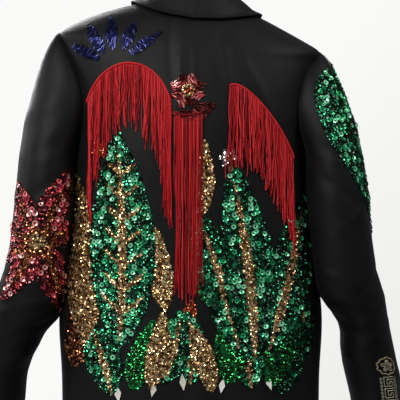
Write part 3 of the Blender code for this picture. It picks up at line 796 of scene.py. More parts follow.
class Sewn:
    """Small pieces of one kind, waiting to be made."""

    kinds = []

    def __init__(self, name, template, material, lift, lean, lie=0.18):
        self.name, self.template, self.material = name, template, material
        self.lift, self.lean, self.lie = lift, lean, lie
        self.places, self.axes, self.sizes = [], [], []
        Sewn.kinds.append(self)

    def add(self, canvas, points, size, angles=None, stretch=(1, 1, 1)):
        """Sews a piece at each point. Angles turn it on the cloth, and otherwise it lies at random."""
        for number, (u, v) in enumerate(points):
            found = canvas.hit(u, v)
            if found is None:
                continue
            place, normal = found
            up = unit(np.array([0, 0, 1.0]) - normal * normal[2])
            right = np.cross(up, normal)
            tip = unit(normal + up * self.lie + chance.normal(0, self.lean, 3))
            angle = chance.uniform(0, 2 * math.pi) if angles is None else angles[number]
            along = right * math.cos(angle) + up * math.sin(angle)
            along = unit(along - tip * (along @ tip))
            self.sizes.append(size * chance.uniform(*UNEVEN_SIZE))
            self.places.append(place + normal * (self.lift + chance.uniform(0, UNEVEN_LIFT)))
            axes = np.stack([along, np.cross(tip, along), tip])
            self.axes.append(axes * np.array(stretch)[:, None])

    def make(self):
        points, faces = self.template
        places, axes, sizes = np.array(self.places), np.array(self.axes), np.array(self.sizes)
        whole = np.einsum("pk,nkd->npd", points, axes * sizes[:, None, None]) + places[:, None, :]
        faces = faces[None] + np.arange(len(places))[:, None, None] * len(points)
        piece = mesh_of(self.name, whole.reshape(-1, 3), faces.reshape(-1, 4), self.material)
        tinted(piece, np.repeat(chance.uniform(0, 1, len(places)), len(points)))


# A direction that no thread follows
SLANTING = (0.31, 0.92, 0.25)


def tubes(name, paths, radii, corners, material):
    """Threads along paths of points that all have the same number of points, as one piece."""
    paths, radii = np.asarray(paths, float), np.asarray(radii, float)
    count, steps = paths.shape[:2]
    along = unit(np.gradient(paths, axis=1))
    aside = unit(np.cross(along, SLANTING))
    other = np.cross(along, aside)
    turn = turns(corners)
    cosine, sine = np.cos(turn)[:, None], np.sin(turn)[:, None]
    ring = aside[:, :, None] * cosine + other[:, :, None] * sine
    points = paths[:, :, None] + ring * radii.reshape(count, -1, 1, 1)
    index = np.arange(count * steps * corners).reshape(count, steps, corners)
    after = np.roll(index, -1, axis=2)
    faces = np.stack([index[:, :-1], after[:, :-1], after[:, 1:], index[:, 1:]], axis=-1).reshape(-1, 4)
    piece = mesh_of(name, points.reshape(-1, 3), faces, material, smooth=True)
    tinted(piece, np.repeat(chance.uniform(0, 1, count), steps * corners))
    return piece


# Materials

def wired(tree, node, **settings):
    """Sets a node's sockets and properties. A socket given as a value is linked to the node's own."""
    for name, value in settings.items():
        socket = node.inputs.get(name.replace("_", " "))
        if socket is None:
            setattr(node, name, value)
        elif isinstance(value, bpy.types.NodeSocket):
            tree.links.new(value, socket)
        else:
            socket.default_value = value
    return node


def new_node(tree, kind, **settings):
    """A new node with these settings."""
    return wired(tree, tree.nodes.new("ShaderNode" + kind), **settings)


def summed(tree, first, second):
    """The sum of two sockets."""
    node = new_node(tree, "Math", operation="ADD")
    tree.links.new(first, node.inputs[0])
    tree.links.new(second, node.inputs[1])
    return node.outputs["Value"]


def shader_of(name, colour, **sockets):
    """A material whose Principled shader has these values, with its node tree and shader."""
    made = bpy.data.materials.new(name)
    made.use_nodes = True
    shader = made.node_tree.nodes["Principled BSDF"]
    return made, made.node_tree, wired(made.node_tree, shader, Base_Color=(*colour, 1), **sockets)


def ramp(tree, source, *stops):
    """A colour ramp with these stops, fed by a socket."""
    node = new_node(tree, "ValToRGB", Fac=source)
    elements = node.color_ramp.elements
    for element, (at, colour) in zip(list(elements), (stops[0], stops[-1])):
        element.position, element.color = at, (*colour, 1)
    for at, colour in stops[1:-1]:
        elements.new(at).color = (*colour, 1)
    return node.outputs["Color"]


def between(tree, source, low, high):
    """A socket's 0 to 1 as a value from low to high."""
    return new_node(tree, "MapRange", To_Min=low, To_Max=high, Value=source).outputs["Result"]


def bumped(tree, height, strength, distance):
    """A normal that a height raises."""
    return new_node(tree, "Bump", Strength=strength, Distance=distance, Height=height).outputs["Normal"]


def object_place(tree):
    """Places on the piece itself, which stay with it."""
    return new_node(tree, "TexCoord").outputs["Object"]


def cloth_material():
    """Black cloth with a soft sheen: a fine weave, faint slubs and slightly uneven gloss."""
    made, tree, shader = shader_of(
        "black_satin", (0.004, 0.0042, 0.0041), Roughness=0.5, Sheen_Weight=0.03,
        Sheen_Roughness=0.5, Sheen_Tint=(0.6, 0.62, 0.62, 1), Specular_IOR_Level=0.22,
    )
    place = new_node(tree, "UVMap", uv_map="cloth").outputs["UV"]
    across = new_node(tree, "TexWave", Vector=place, Scale=620.0, Distortion=0.4, bands_direction="X")
    down = new_node(tree, "TexWave", Vector=place, Scale=560.0, Distortion=0.4, bands_direction="Y")
    stretched = new_node(tree, "Mapping", Vector=place, Scale=(1.0, 0.12, 1.0)).outputs["Vector"]
    slubs = new_node(tree, "TexNoise", Vector=stretched, Scale=90.0, Detail=3.0)
    patches = new_node(tree, "TexNoise", Vector=place, Scale=14.0, Detail=2.0).outputs["Fac"]
    weave = summed(tree, across.outputs["Fac"], down.outputs["Fac"])
    relief = summed(tree, weave, slubs.outputs["Fac"])
    wired(
        tree, shader, Normal=bumped(tree, relief, 0.25, 0.00015), Roughness=between(tree, patches, 0.44, 0.58),
        Base_Color=ramp(tree, patches, (0.3, (0.0032, 0.0034, 0.0033)), (0.7, (0.0052, 0.0054, 0.0053))),
    )
    return made


def film_material(name, dark, mid, light, metallic=0.95, roughness=0.17):
    """The coated film of sequins and beads, a little different on each one. On the mint and rose films the
    tints also hold painted highlight.
    """
    made, tree, shader = shader_of(
        name, mid, Metallic=metallic, Roughness=roughness, Coat_Weight=0.25, Coat_Roughness=0.1
    )
    tint = new_node(tree, "Attribute", attribute_name="tint").outputs["Fac"]
    wear = new_node(tree, "TexNoise", Vector=object_place(tree), Scale=700.0, Detail=2.0).outputs["Fac"]
    wired(
        tree, shader, Roughness=between(tree, wear, roughness * 0.7, roughness * 1.4),
        Base_Color=ramp(tree, tint, (0.12, dark), (0.55, mid), (0.95, light)),
    )
    return made


def thread_material(name, dark, mid, light, metallic=0.0, roughness=0.5):
    """Twisted thread, with a different shade on each strand. On the red thread these shades are partly painted
    shade and painted highlight.
    """
    made, tree, shader = shader_of(name, mid, Metallic=metallic, Roughness=roughness, Specular_IOR_Level=0.25)
    tint = new_node(tree, "Attribute", attribute_name="tint").outputs["Fac"]
    ply = new_node(
        tree, "TexWave", Vector=object_place(tree), Scale=900.0, Distortion=2.0, bands_direction="DIAGONAL"
    ).outputs["Fac"]
    wired(
        tree, shader, Normal=bumped(tree, ply, 0.5, 0.0002),
        Base_Color=ramp(tree, tint, (0.0, dark), (0.6, mid), (1.0, light)),
    )
    return made


def button_material():
    """Polished black resin with a faint cloudy figure."""
    made, tree, shader = shader_of("black_resin", (0.012, 0.012, 0.013), Roughness=0.22, Coat_Weight=0.3)
    clouds = new_node(tree, "TexNoise", Vector=object_place(tree), Scale=160.0, Detail=4.0).outputs["Fac"]
    figure = ramp(tree, clouds, (0.35, (0.008, 0.008, 0.009)), (0.7, (0.03, 0.029, 0.028)))
    wired(tree, shader, Base_Color=figure)
    return made


chance = np.random.default_rng(11)

SATIN = cloth_material()
# Mint cups, partly painted light: their mid and light tints are about as bright as a lit rim, a painted
# highlight that makes a cup look lit from any side. Which cups get the light tint is random: partly real
# difference between cups, partly painted highlight for cups that catch the lamps.
MINT = film_material(
    "mint_film", (0.001, 0.03, 0.012), (0.012, 0.52, 0.18), (0.34, 1.0, 0.58), metallic=0.3, roughness=0.26
)
GREEN = film_material("green_film", (0.001, 0.016, 0.008), (0.002, 0.08, 0.034), (0.035, 0.50, 0.22))
DARK_GREEN = film_material("dark_green_film", (0.001, 0.010, 0.005), (0.002, 0.04, 0.018), (0.01, 0.24, 0.10))
LEAF_GREEN = film_material("leaf_green_film", (0.001, 0.02, 0.004), (0.003, 0.10, 0.018), (0.02, 0.42, 0.09))
GOLD = film_material(
    "gold_film", (0.10, 0.042, 0.010), (0.50, 0.275, 0.09), (1.0, 0.76, 0.40), metallic=0.75, roughness=0.2
)
COPPER = film_material("copper_film", (0.10, 0.02, 0.006), (0.34, 0.09, 0.025), (0.75, 0.32, 0.12))
# Rose cups and beads, partly painted light: their mid and light tints are about as bright as the lit pink
# rings. This painted highlight makes a ring look lit from any side.
ROSE = film_material(
    "rose_film", (0.14, 0.004, 0.010), (0.76, 0.05, 0.08), (1.0, 0.50, 0.46), metallic=0.3, roughness=0.24
)
RED = film_material("red_film", (0.04, 0.002, 0.003), (0.17, 0.010, 0.016), (0.6, 0.08, 0.08))
MAROON = film_material(
    "maroon_beads", (0.07, 0.008, 0.008), (0.22, 0.026, 0.022), (0.50, 0.10, 0.08), roughness=0.3
)
BLUE = film_material(
    "blue_beads", (0.010, 0.010, 0.06), (0.020, 0.024, 0.14), (0.06, 0.07, 0.27), roughness=0.3
)
SILVER = film_material("silver_film", (0.45, 0.42, 0.40), (0.75, 0.72, 0.70), (0.95, 0.93, 0.9))
ORANGE = film_material("orange_film", (0.28, 0.03, 0.01), (0.55, 0.09, 0.025), (0.8, 0.2, 0.07))
PEARL = film_material("pearl_film", (0.72, 0.62, 0.42), (0.92, 0.88, 0.78), (1.0, 0.99, 0.95), metallic=0.0)
# Red fringe thread: the random tint on each strand is partly real difference between strands and partly painted
# light. Its dark stop stands in for the shade in the gaps between strands, and its light stop for their
# highlights.
RED_THREAD = thread_material("red_thread", (0.15, 0.001, 0.004), (0.68, 0.010, 0.018), (1.0, 0.055, 0.06))
GOLD_THREAD = thread_material(
    "gold_thread", (0.36, 0.29, 0.16), (0.64, 0.56, 0.36), (0.88, 0.82, 0.62), metallic=0.55, roughness=0.36
)
SILVER_THREAD = thread_material(
    "silver_thread", (0.36, 0.35, 0.35), (0.60, 0.59, 0.60), (0.85, 0.85, 0.85), metallic=0.6, roughness=0.38
)
BLACK_THREAD = thread_material(
    "black_thread", (0.012, 0.012, 0.012), (0.02, 0.02, 0.02), (0.035, 0.035, 0.035)
)
RESIN = button_material()


# Fine cloth

def body_grid(side, start, end, columns, folds, step=None):
    """The outer and inner points of a back or front panel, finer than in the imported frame."""
    outer, outward = body_rows(side, LEVELS, start, end, columns)
    fade = seam_fade(outer, both=side == BACK, flip=step is not None)
    outer = outer + (fold_heights(folds, outer) * fade)[..., None] * outward
    if step is not None:
        outer = outer - step(outer[..., 0])[..., None] * outward
    return thickened(outer, outward)


def side_seams(side):
    """How far along each level's ring the panels on one side start and end."""
    inset = armhole_inset(LEVELS, side)
    return inset, np.array([ring_length(body_ring(z, side)) for z in LEVELS]) - inset


def front_edge(x):
    """How far along each level's ring a front's free edge lies."""
    return np.array([distance_at(z, FRONT, x) for z in LEVELS])


def underlap(x):
    """How far the right front steps in under the left one."""
    share = np.clip((x - UNDERLAP_START) / (UNDERLAP_END - UNDERLAP_START), 0, 1)
    return UNDERLAP_STEP * share * share * (3 - 2 * share)


def flat_size(grids, around=False, neck=False):
    """A panel's flat width, length and area. A panel at the neck takes its shortest way up and the rise."""
    outer = grids[0]
    ahead = np.roll(outer, -1, axis=1) if around else outer[:, 1:]
    behind = outer if around else outer[:, :-1]
    width = lengths(ahead - behind).sum(axis=1).max()
    ups = lengths(np.diff(outer, axis=0)).sum(axis=0)
    tops = outer[[0, -1], :, 2].max(axis=0)
    length = ups.min() + tops.max() - tops[ups.argmin()] if neck else ups.max()
    first = np.cross(ahead[:-1] - behind[:-1], behind[1:] - behind[:-1])
    second = np.cross(behind[1:] - ahead[1:], ahead[:-1] - ahead[1:])
    area = (lengths(first).sum() + lengths(second).sum()) / 2
    return (round(float(width), 3), round(float(length), 3)), round(float(area), 4)


back_start, back_end = side_seams(BACK)
front_start, front_end = side_seams(FRONT)
GRIDS = {
    "back": body_grid(BACK, back_start, back_end, BACK_COLUMNS, BACK_FOLDS),
    "front_left": body_grid(FRONT, front_start, front_edge(-OVERLAP), FRONT_COLUMNS, FRONT_FOLDS),
    "front_right": body_grid(FRONT, front_edge(OVERLAP), front_end, FRONT_COLUMNS, FRONT_FOLDS, underlap),
    "sleeve_left": sleeve_grids(LEFT, LEFT_ARM),
    "sleeve_right": sleeve_grids(RIGHT, RIGHT_ARM),
    "collar_stand": stand_grids(),
}
whole_front = np.concatenate([GRIDS["front_left"][0][:, :-1], GRIDS["front_right"][0]], axis=1)
GRIDS["collar_fall"] = fall_grids([tree_of(GRIDS["back"][0]), tree_of(whole_front)])

CLOTH_PIECES = {}
for node, grids in GRIDS.items():
    piece = fine_wall(node + "_cloth", grids, SATIN, around=node.startswith("sleeve"))
    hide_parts(node)
    CLOTH_PIECES[node] = piece

BACK_CANVAS = Canvas(GRIDS["back"][0])
LEFT_CANVAS = SleeveCanvas(GRIDS["sleeve_left"][0], LEFT_ARM, LEFT)
RIGHT_CANVAS = SleeveCanvas(GRIDS["sleeve_right"][0], RIGHT_ARM, RIGHT)

for number in range(BUTTON_COUNT):
    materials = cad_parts[f"button_{number + 1}"].data.materials
    materials.clear()
    materials.append(RESIN)


# Fringe: hundreds of fine threads for each fall, in two layers under a twisted edge cord

THREAD_PITCH = 0.0018
THREAD_RADIUS = 0.00066
THREAD_STEPS = 18
THREAD_TAPER = 0.85
# The upper layer is this much looser. Threads grow in length towards a fall's ends by this power of the way
UPPER_LOOSER = 1.25
LENGTH_POWER = 2.2
# The threads start this far above the root line. One in seven is shorter, and all end unevenly
ROOT_RISE = 0.003
SHORTER = (0.72, 0.95)
SHORTER_SHARE = 0.14
UNEVEN_END = 0.006
# They gather into locks as they hang, each with its own drift and sway
LOCK_WAVES = (1, 1.7, 2.9, 4.3, 6.1, 9.7)
LOCK_PITCH = 90
LOCK_WIDTH, LOCK_POWER = 0.014, 1.4
DRIFT, SWAY, SPREAD = 0.0016, 0.0012, 0.0004
SWAY_START, SWAY_WAVES = 3, 9
# How far roots, threads and the upper layer lie off the cloth, and the most a thread falls back in a step
ROOT_LIFT, THREAD_LIFT, LAYER_LIFT, UNEVEN_THREAD = 0.0012, 0.0016, 0.0011, 0.0008
FALL_BACK = 0.0006
STEEPEST = 0.45


def fringe_roots(fall, pitch):
    """Points along a fringe's root line, evenly spaced along it."""
    x = fall["x"] + np.linspace(-fall["half_width"], fall["half_width"], 400)
    line = np.array([(a, 0, root_height(fall, a)) for a in x])
    return ring_points(line, np.arange(0, ring_length(line), pitch))


def fringe_threads(name, fall):
    """All threads of one fall."""
    phases = chance.uniform(0, 2 * math.pi, len(LOCK_WAVES))
    paths = []
    for layer, pitch in enumerate((THREAD_PITCH, THREAD_PITCH * UPPER_LOOSER)):
        for x, _, z in fringe_roots(fall, pitch):
            x += chance.uniform(-SPREAD, SPREAD)
            share = min(1.0, abs(x - fall["x"]) / fall["half_width"])
            length = fall["middle"] + (fall["ends"] - fall["middle"]) * share**LENGTH_POWER
            length *= chance.uniform(*SHORTER) if chance.random() < SHORTER_SHARE else 1.0
            length += chance.normal(0, UNEVEN_END)
            lock = sum(math.sin(x * k * LOCK_PITCH + p) for k, p in zip(LOCK_WAVES, phases)) / len(phases)
            aside = LOCK_WIDTH * lock + chance.normal(0, DRIFT)
            sway = chance.normal(0, SWAY)
            phase = chance.uniform(0, 2 * math.pi)
            lift = THREAD_LIFT + LAYER_LIFT * layer + chance.uniform(0, UNEVEN_THREAD)
            path, back = [], -1.0
            for t in np.linspace(0, 1, THREAD_STEPS):
                waver = sway * min(1.0, SWAY_START * t) * math.sin(SWAY_WAVES * t + phase)
                u = x + aside * t**LOCK_POWER + waver
                v = z + ROOT_RISE - length * t
                found = BACK_CANVAS.hit(u, v)
                if found is not None:
                    place, normal = found
                    off = (lift if t else ROOT_LIFT) / max(normal[1], STEEPEST)
                    back = max(back - FALL_BACK, place[1] + off)
                path.append((u, back, v))
            paths.append(path)
    radii = np.tile(THREAD_RADIUS * np.linspace(1.0, THREAD_TAPER, THREAD_STEPS), (len(paths), 1))
    piece = tubes(name + "_threads", paths, radii, 5, RED_THREAD)
    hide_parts(name)


# The edge cord: its strands' twist, their thickness as a share of the twist's radius, and how far the cord lies
# off the cloth and above the roots
CORD_STRANDS = 2
CORD_STEP, CORD_RADIUS, CORD_TWIST, CORD_SHARE = 0.0009, 0.0010, 1300, 0.85
CORD_LIFT, CORD_RISE = 0.0026, 0.0035


def edge_cord(name, fall):
    """A twisted cord sewn to the back along a fall's root line."""
    line = fringe_roots(fall, CORD_STEP)[:, [0, 2]] + [0, CORD_RISE]
    spine, normals = laid(BACK_CANVAS, line, CORD_LIFT)
    aside = np.cross(unit(np.gradient(spine, axis=0)), normals)
    paths = []
    for strand in range(CORD_STRANDS):
        turn = travelled(spine) * CORD_TWIST + 2 * math.pi * strand / CORD_STRANDS
        paths.append(spine + CORD_RADIUS * (aside * np.cos(turn)[:, None] + normals * np.sin(turn)[:, None]))
    return tubes(name, paths, np.full((CORD_STRANDS, len(spine)), CORD_RADIUS * CORD_SHARE), 6, RED_THREAD)


for name, fall in FRINGES.items():
    fringe_threads(name, fall)
    edge_cord(name + "_edge", fall)


# Sequins, beads and spangles

green_cups = Sewn("green_cups", CUP, MINT, 0.0011, 0.17)
green_sequins = Sewn("green_sequins", FLAT, GREEN, 0.0008, 0.24)
dark_sequins = Sewn("dark_sequins", FLAT, DARK_GREEN, 0.0008, 0.20)
leaf_sequins = Sewn("leaf_sequins", FLAT, LEAF_GREEN, 0.0008, 0.22)
gold_sequins = Sewn("gold_sequins", FLAT, GOLD, 0.0008, 0.26)
copper_sequins = Sewn("copper_sequins", FLAT, COPPER, 0.0008, 0.26)
red_cups = Sewn("red_cups", CUP, ROSE, 0.0011, 0.16)
red_sequins = Sewn("red_sequins", FLAT, RED, 0.0008, 0.24)
silver_sequins = Sewn("silver_sequins", FLAT, SILVER, 0.0010, 0.26)
orange_sequins = Sewn("orange_sequins", FLAT, ORANGE, 0.0010, 0.22)
maroon_beads = Sewn("maroon_beads", BUGLE, MAROON, 0.0012, 0.10, lie=0)
rose_beads = Sewn("rose_beads", BUGLE, ROSE, 0.0012, 0.10, lie=0)
blue_beads = Sewn("blue_beads", BUGLE, BLUE, 0.0012, 0.10, lie=0)
spangles = Sewn("pointed_spangles", SPANGLE, PEARL, 0.0012, 0.08)

ONE_COLOUR = {
    "gold": gold_sequins, "copper": copper_sequins, "dark": dark_sequins, "orange": orange_sequins,
    "lime": leaf_sequins,
}

CUP_RADIUS = 0.0043
CUP_PITCH = 0.0092
# Cups keep this far inside an outline, and sequins lie farther from them than this share of their radius
CUP_MARGIN, CUP_COVER = 0.003, 0.9
SEQUIN_RADIUS, SMALL_SEQUIN = 0.0023, 0.0021
MIXED_PITCH, SEQUIN_PITCH, CLOSE_PITCH, CLOSEST_PITCH = 0.0037, 0.0036, 0.0034, 0.0032
BEAD_LENGTH, BEAD_RADIUS = 0.0030, 0.0008
# How unevenly cups and beads are spaced, as a share of their pitch, and beads turned, in radians
CUP_JITTER, BEAD_JITTER, BEAD_TURN = 0.30, 0.35, 0.25
# Clusters: how much they change a share of cups, its least and most, and where dark sequins lie between them
CLUSTER_DEPTH, FEWEST, MOST = 0.30, 0.08, 0.97
SHADE_SPREAD, SHADE_BELOW = 0.5, -0.5
LEAF_BEND = 0.10
# A rib's length and width as shares of its leaf's
RIB_LENGTH, RIB_WIDTH = 0.9, 0.2
# A small flower's heart as a share of it, its petals' depth, and its heart's pitch and sequins
HEART_SHARE, PETAL_DEPTH, HEART_PITCH, HEART_SEQUIN = 0.36, 0.22, 0.0030, 0.0019
# A rosette's gold ring, its middle, and its petals' length and width, as shares of its radius
RING_SHARE, MIDDLE_SHARE, PETAL_LENGTH, PETAL_WIDTH = 0.42, 0.22, 1.15, 0.66


def cluster_field(points):
    """High in loose clusters and low between them."""
    u, v = points.T
    return np.sin(150 * u + 40 * v) + np.sin(170 * v - 60 * u + 2) + 0.8 * np.sin(95 * (u + v) + 1)


def clustered(points, share):
    """Some of the points: most of them in loose clusters, and few between the clusters."""
    likely = np.clip(share + CLUSTER_DEPTH * cluster_field(points), FEWEST, MOST)
    return points[chance.uniform(0, 1, len(points)) < likely]


def green_mix(canvas, outline, share, holes):
    """Large cups with small sequins between them."""
    cups = grid_in(outline, CUP_PITCH, CUP_JITTER)
    cups = clustered(cups[edge_distance(cups, outline) > CUP_MARGIN], share)
    small = without(grid_in(outline, MIXED_PITCH), holes)
    cups = without(cups, holes)
    small = clear_of(small, cups, CUP_RADIUS * CUP_COVER)
    shaded = cluster_field(small) + chance.normal(0, SHADE_SPREAD, len(small)) < SHADE_BELOW
    green_cups.add(canvas, cups, CUP_RADIUS)
    green_sequins.add(canvas, small[~shaded], SEQUIN_RADIUS)
    dark_sequins.add(canvas, small[shaded], SEQUIN_RADIUS)


def filled(canvas, kind, outline, pitch=SEQUIN_PITCH, size=SEQUIN_RADIUS, holes=()):
    """Sequins of one kind all over an outline, but for its holes."""
    kind.add(canvas, without(grid_in(outline, pitch), holes), size)


def beaded(kind, outline, centre, pitch=CLOSE_PITCH):
    """Bugle beads on the back, laid out from a centre."""
    points = grid_in(outline, pitch, BEAD_JITTER)
    away = points - centre
    angles = np.arctan2(away[:, 1], away[:, 0]) + chance.normal(0, BEAD_TURN, len(points))
    kind.add(BACK_CANVAS, points, BEAD_RADIUS, angles, stretch=(BEAD_LENGTH / BEAD_RADIUS, 1, 1))


def flower(kind, place, radius, petals):
    """A small flower of sequins round a heart of gold."""
    heart = disc(place, radius * HEART_SHARE)
    whole = disc(place, radius, PETAL_DEPTH, petals)
    filled(BACK_CANVAS, kind, whole, CLOSEST_PITCH, SMALL_SEQUIN, [heart])
    filled(BACK_CANVAS, gold_sequins, heart, HEART_PITCH, HEART_SEQUIN)
    TAKEN.append(whole)


def rosette(place, radius, petals):
    """A flower of bead petals laid out from its heart, with a ring of gold round an orange middle."""
    gold_ring = disc(place, radius * RING_SHARE)
    middle = disc(place, radius * MIDDLE_SHARE)
    filled(BACK_CANVAS, orange_sequins, middle, HEART_PITCH, SMALL_SEQUIN)
    filled(BACK_CANVAS, gold_sequins, gold_ring, CLOSEST_PITCH, SMALL_SEQUIN, [middle])
    TAKEN.append(gold_ring)
    for number in range(petals):
        shape = leaf(place, radius * PETAL_LENGTH, radius * PETAL_WIDTH, 360 * (number + 0.5) / petals)
        beaded(maroon_beads if number % 2 else rose_beads, shape, place, CLOSEST_PITCH)
        TAKEN.append(shape)


def leaf_of(kind, place, length, width, degrees):
    """A leaf on the back. A green one has a gold rib, and the others are of one colour."""
    shape = leaf(place, length, width, degrees, LEAF_BEND)
    if kind == "green":
        rib = leaf(place, length * RIB_LENGTH, width * RIB_WIDTH, degrees, LEAF_BEND)
        green_mix(BACK_CANVAS, shape, 0.52, [rib])
        filled(BACK_CANVAS, gold_sequins, rib, CLOSE_PITCH)
    else:
        filled(BACK_CANVAS, ONE_COLOUR[kind], shape, CLOSE_PITCH)
    TAKEN.append(shape)


# A tall leaf grows up inside the high arch of fringe: two rows of green cups on a gold rib with gold veins
TALL_FOOT, TALL_LENGTH, TALL_TURN, TALL_BEND = (0.116, -0.575), 0.360, 4.0, 0.08
# The veins: the lowest one's place along the rib and the step to the next, its length and how much shorter the
# next one is, their width and their turn from the rib
VEIN_START, VEIN_STEP = 0.16, 0.105
VEIN_LENGTH, VEIN_SHORTER, VEIN_WIDTH, VEIN_TURN = 0.052, 0.003, 0.008, 48
tall_leaf = leaf(TALL_FOOT, TALL_LENGTH, 0.108, TALL_TURN, TALL_BEND)
tall_rib = leaf(TALL_FOOT, TALL_LENGTH * 0.94, 0.014, TALL_TURN, TALL_BEND)
veins = []
for number in range(7):
    share = VEIN_START + VEIN_STEP * number
    on_spine = np.array([TALL_BEND * TALL_LENGTH * share**2, TALL_LENGTH * share])
    foot = turned(on_spine, TALL_TURN, TALL_FOOT)
    for way in (-1, 1):
        length = VEIN_LENGTH - VEIN_SHORTER * number
        veins.append(leaf(foot, length, VEIN_WIDTH, TALL_TURN - way * VEIN_TURN))
green_mix(BACK_CANVAS, tall_leaf, 0.55, [tall_rib, *veins])
for line in (tall_rib, *veins):
    points = grid_in(line, CLOSE_PITCH)
    gold_sequins.add(BACK_CANVAS, points[inside(points, tall_leaf)], SEQUIN_RADIUS)
TAKEN.append(tall_leaf)

# Leaves: kind, foot, length, width and direction in degrees from upright, turning to the right. The first ones
# lie on top of the later ones
for kind, place, length, width, degrees in (
    ("green", (-0.106, -0.600), 0.340, 0.088, -1),
    ("green", (-0.128, -0.580), 0.270, 0.076, 19),
    ("green", (-0.080, -0.580), 0.250, 0.070, -11),
    ("gold", (0.174, -0.570), 0.300, 0.066, 1),
    ("gold", (0.040, -0.512), 0.175, 0.046, -8),
    ("gold", (0.066, -0.640), 0.130, 0.040, 16),
    ("green", (0.128, -0.650), 0.130, 0.060, -12),
    ("copper", (0.190, -0.610), 0.110, 0.040, 4),
    ("lime", (0.096, -0.640), 0.120, 0.052, 24),
    ("gold", (-0.036, -0.645), 0.120, 0.038, -12),
    ("green", (0.044, -0.630), 0.125, 0.056, 20),
    ("green", (0.000, -0.632), 0.120, 0.056, 4),
    ("orange", (0.018, -0.560), 0.070, 0.030, 24),
    ("lime", (-0.060, -0.632), 0.120, 0.058, 10),
    ("green", (-0.100, -0.640), 0.115, 0.056, -6),
    ("lime", (-0.130, -0.636), 0.120, 0.058, 16),
    ("dark", (-0.150, -0.650), 0.165, 0.060, 12),
    ("green", (-0.184, -0.600), 0.140, 0.040, 4),
    ("lime", (-0.030, -0.510), 0.170, 0.040, -3),
    ("gold", (-0.022, -0.352), 0.120, 0.030, 6),
    ("dark", (0.070, -0.480), 0.140, 0.050, -4),
    ("gold", (-0.170, -0.560), 0.150, 0.040, 6),
):
    leaf_of(kind, np.array(place), length, width, degrees)

# A rosette above the middle fall of fringe
rosette(np.array([0.004, -0.152]), 0.027, 8)

# A spray of blue bead leaves grows out over the high arch of fringe
for u, v, length, width, degrees in (
    (0.150, -0.098, 0.052, 0.017, -62),
    (0.142, -0.090, 0.060, 0.019, -30),
    (0.128, -0.084, 0.062, 0.020, -4),
    (0.112, -0.084, 0.056, 0.018, 24),
    (0.100, -0.092, 0.066, 0.016, 54),
):
    beaded(blue_beads, leaf((u, v), length, width, degrees), (0.120, -0.13))
for foot, length, width, degrees in (
    ((-0.040, -0.175), 0.062, 0.024, -112),
    ((0.030, -0.190), 0.052, 0.022, 108),
    ((0.160, -0.300), 0.060, 0.022, 8),
):
    beaded(maroon_beads, leaf(foot, length, width, degrees, 0.15), foot)
flower(silver_sequins, (-0.062, -0.262), 0.012, 6)
flower(orange_sequins, (0.150, -0.250), 0.013, 5)

# Long pointed spangles at the lower edge, in uneven steps
tips = np.array([(0.118, -0.648), (0.060, -0.640), (0.012, -0.628), (-0.052, -0.634), (-0.128, -0.630)])
spangles.add(BACK_CANVAS, tips, 0.0072, np.radians([-80, -104, -84, -98, -76]), stretch=(1.9, 0.75, 1))

TAKEN.clear()

# Left sleeve: red petals of ring sequins that overlap like scales, spread from a copper and gold heart
heart_place = np.array([0.082, -0.400])
RED_PITCH, RED_JITTER, RED_MARGIN, RED_RADIUS, RED_SHARE, RED_BEND = 0.0090, 0.16, 0.002, 0.0047, 0.62, 0.06
# Cups and sequins keep this far from the heart, and sequins this far from the cups
CUP_START, SEQUIN_START, CUP_CLEARANCE = 0.024, 0.022, 0.0038
for degrees, length, width in (
    (160, 0.110, 0.046), (118, 0.078, 0.040), (72, 0.080, 0.042), (30, 0.112, 0.046), (-14, 0.128, 0.046),
    (-62, 0.070, 0.040), (-150, 0.135, 0.048),
):
    shape = leaf(heart_place, length, width, degrees, RED_BEND)
    spine = leaf(heart_place, length * 0.8, width * 0.24, degrees, RED_BEND)
    cups = grid_in(shape, RED_PITCH, RED_JITTER)
    cups = cups[edge_distance(cups, shape) > RED_MARGIN]
    cups = clustered(clear_of(cups, [heart_place], CUP_START), RED_SHARE)
    cups = without(cups, [spine])
    small = clear_of(grid_in(shape, SEQUIN_PITCH), cups, CUP_CLEARANCE)
    small = clear_of(small, [heart_place], SEQUIN_START)
    on_spine = inside(small, spine)
    red_cups.add(LEFT_CANVAS, cups, RED_RADIUS)
    red_sequins.add(LEFT_CANVAS, small[~on_spine], SEQUIN_RADIUS)
    copper_sequins.add(LEFT_CANVAS, small[on_spine], SEQUIN_RADIUS)
    TAKEN.append(shape)
TAKEN.clear()
heart = disc(heart_place, 0.012)
filled(LEFT_CANVAS, copper_sequins, disc(heart_place, 0.027, 0.1, 6), holes=[heart])
filled(LEFT_CANVAS, gold_sequins, heart, CLOSE_PITCH)

# Right sleeve: a long leaf of green cups that hangs from the shoulder, its tip down along the outer side
long_leaf = leaf((0.104, -0.058), 0.370, 0.086, 164, 0.06, 0.62)
rib = leaf((0.100, -0.072), 0.310, 0.009, 164, 0.06)
green_mix(RIGHT_CANVAS, long_leaf, 0.72, [rib])
filled(RIGHT_CANVAS, leaf_sequins, rib, CLOSE_PITCH)

for kind in Sewn.kinds:
    kind.make()


# Stitching and embroidery

# Pitch, length and radius of the stitches, and how thin their ends are
BLACK_STITCH = (0.0040, 0.0028, 0.00042)
SILVER_STITCH = (0.0066, 0.0044, 0.0008)
STITCH_ENDS = 0.45


def evenly(line, step):
    """Points evenly spaced along a line of points."""
    line = np.asarray(line, float)
    return ring_points(line, np.arange(step / 2, ring_length(line), step))


def stitched(name, runs, material, pitch, length, radius):
    """Rows of short stitches. Each run is a line of points just above the cloth."""
    paths = []
    for run in runs:
        middles = evenly(run, pitch)
        along = unit(np.gradient(middles, axis=0))
        paths += [[m - a * length / 2, m, m + a * length / 2] for m, a in zip(middles, along)]
    radii = np.tile([radius * STITCH_ENDS, radius, radius * STITCH_ENDS], (len(paths), 1))
    return tubes(name, paths, radii, 5, material)


def above(node, line, lift=0.0003):
    """A row or column of a cloth piece's outer points, a little above it."""
    outer, inner = GRIDS[node]
    return outer[line] + unit(outer[line] - inner[line]) * lift


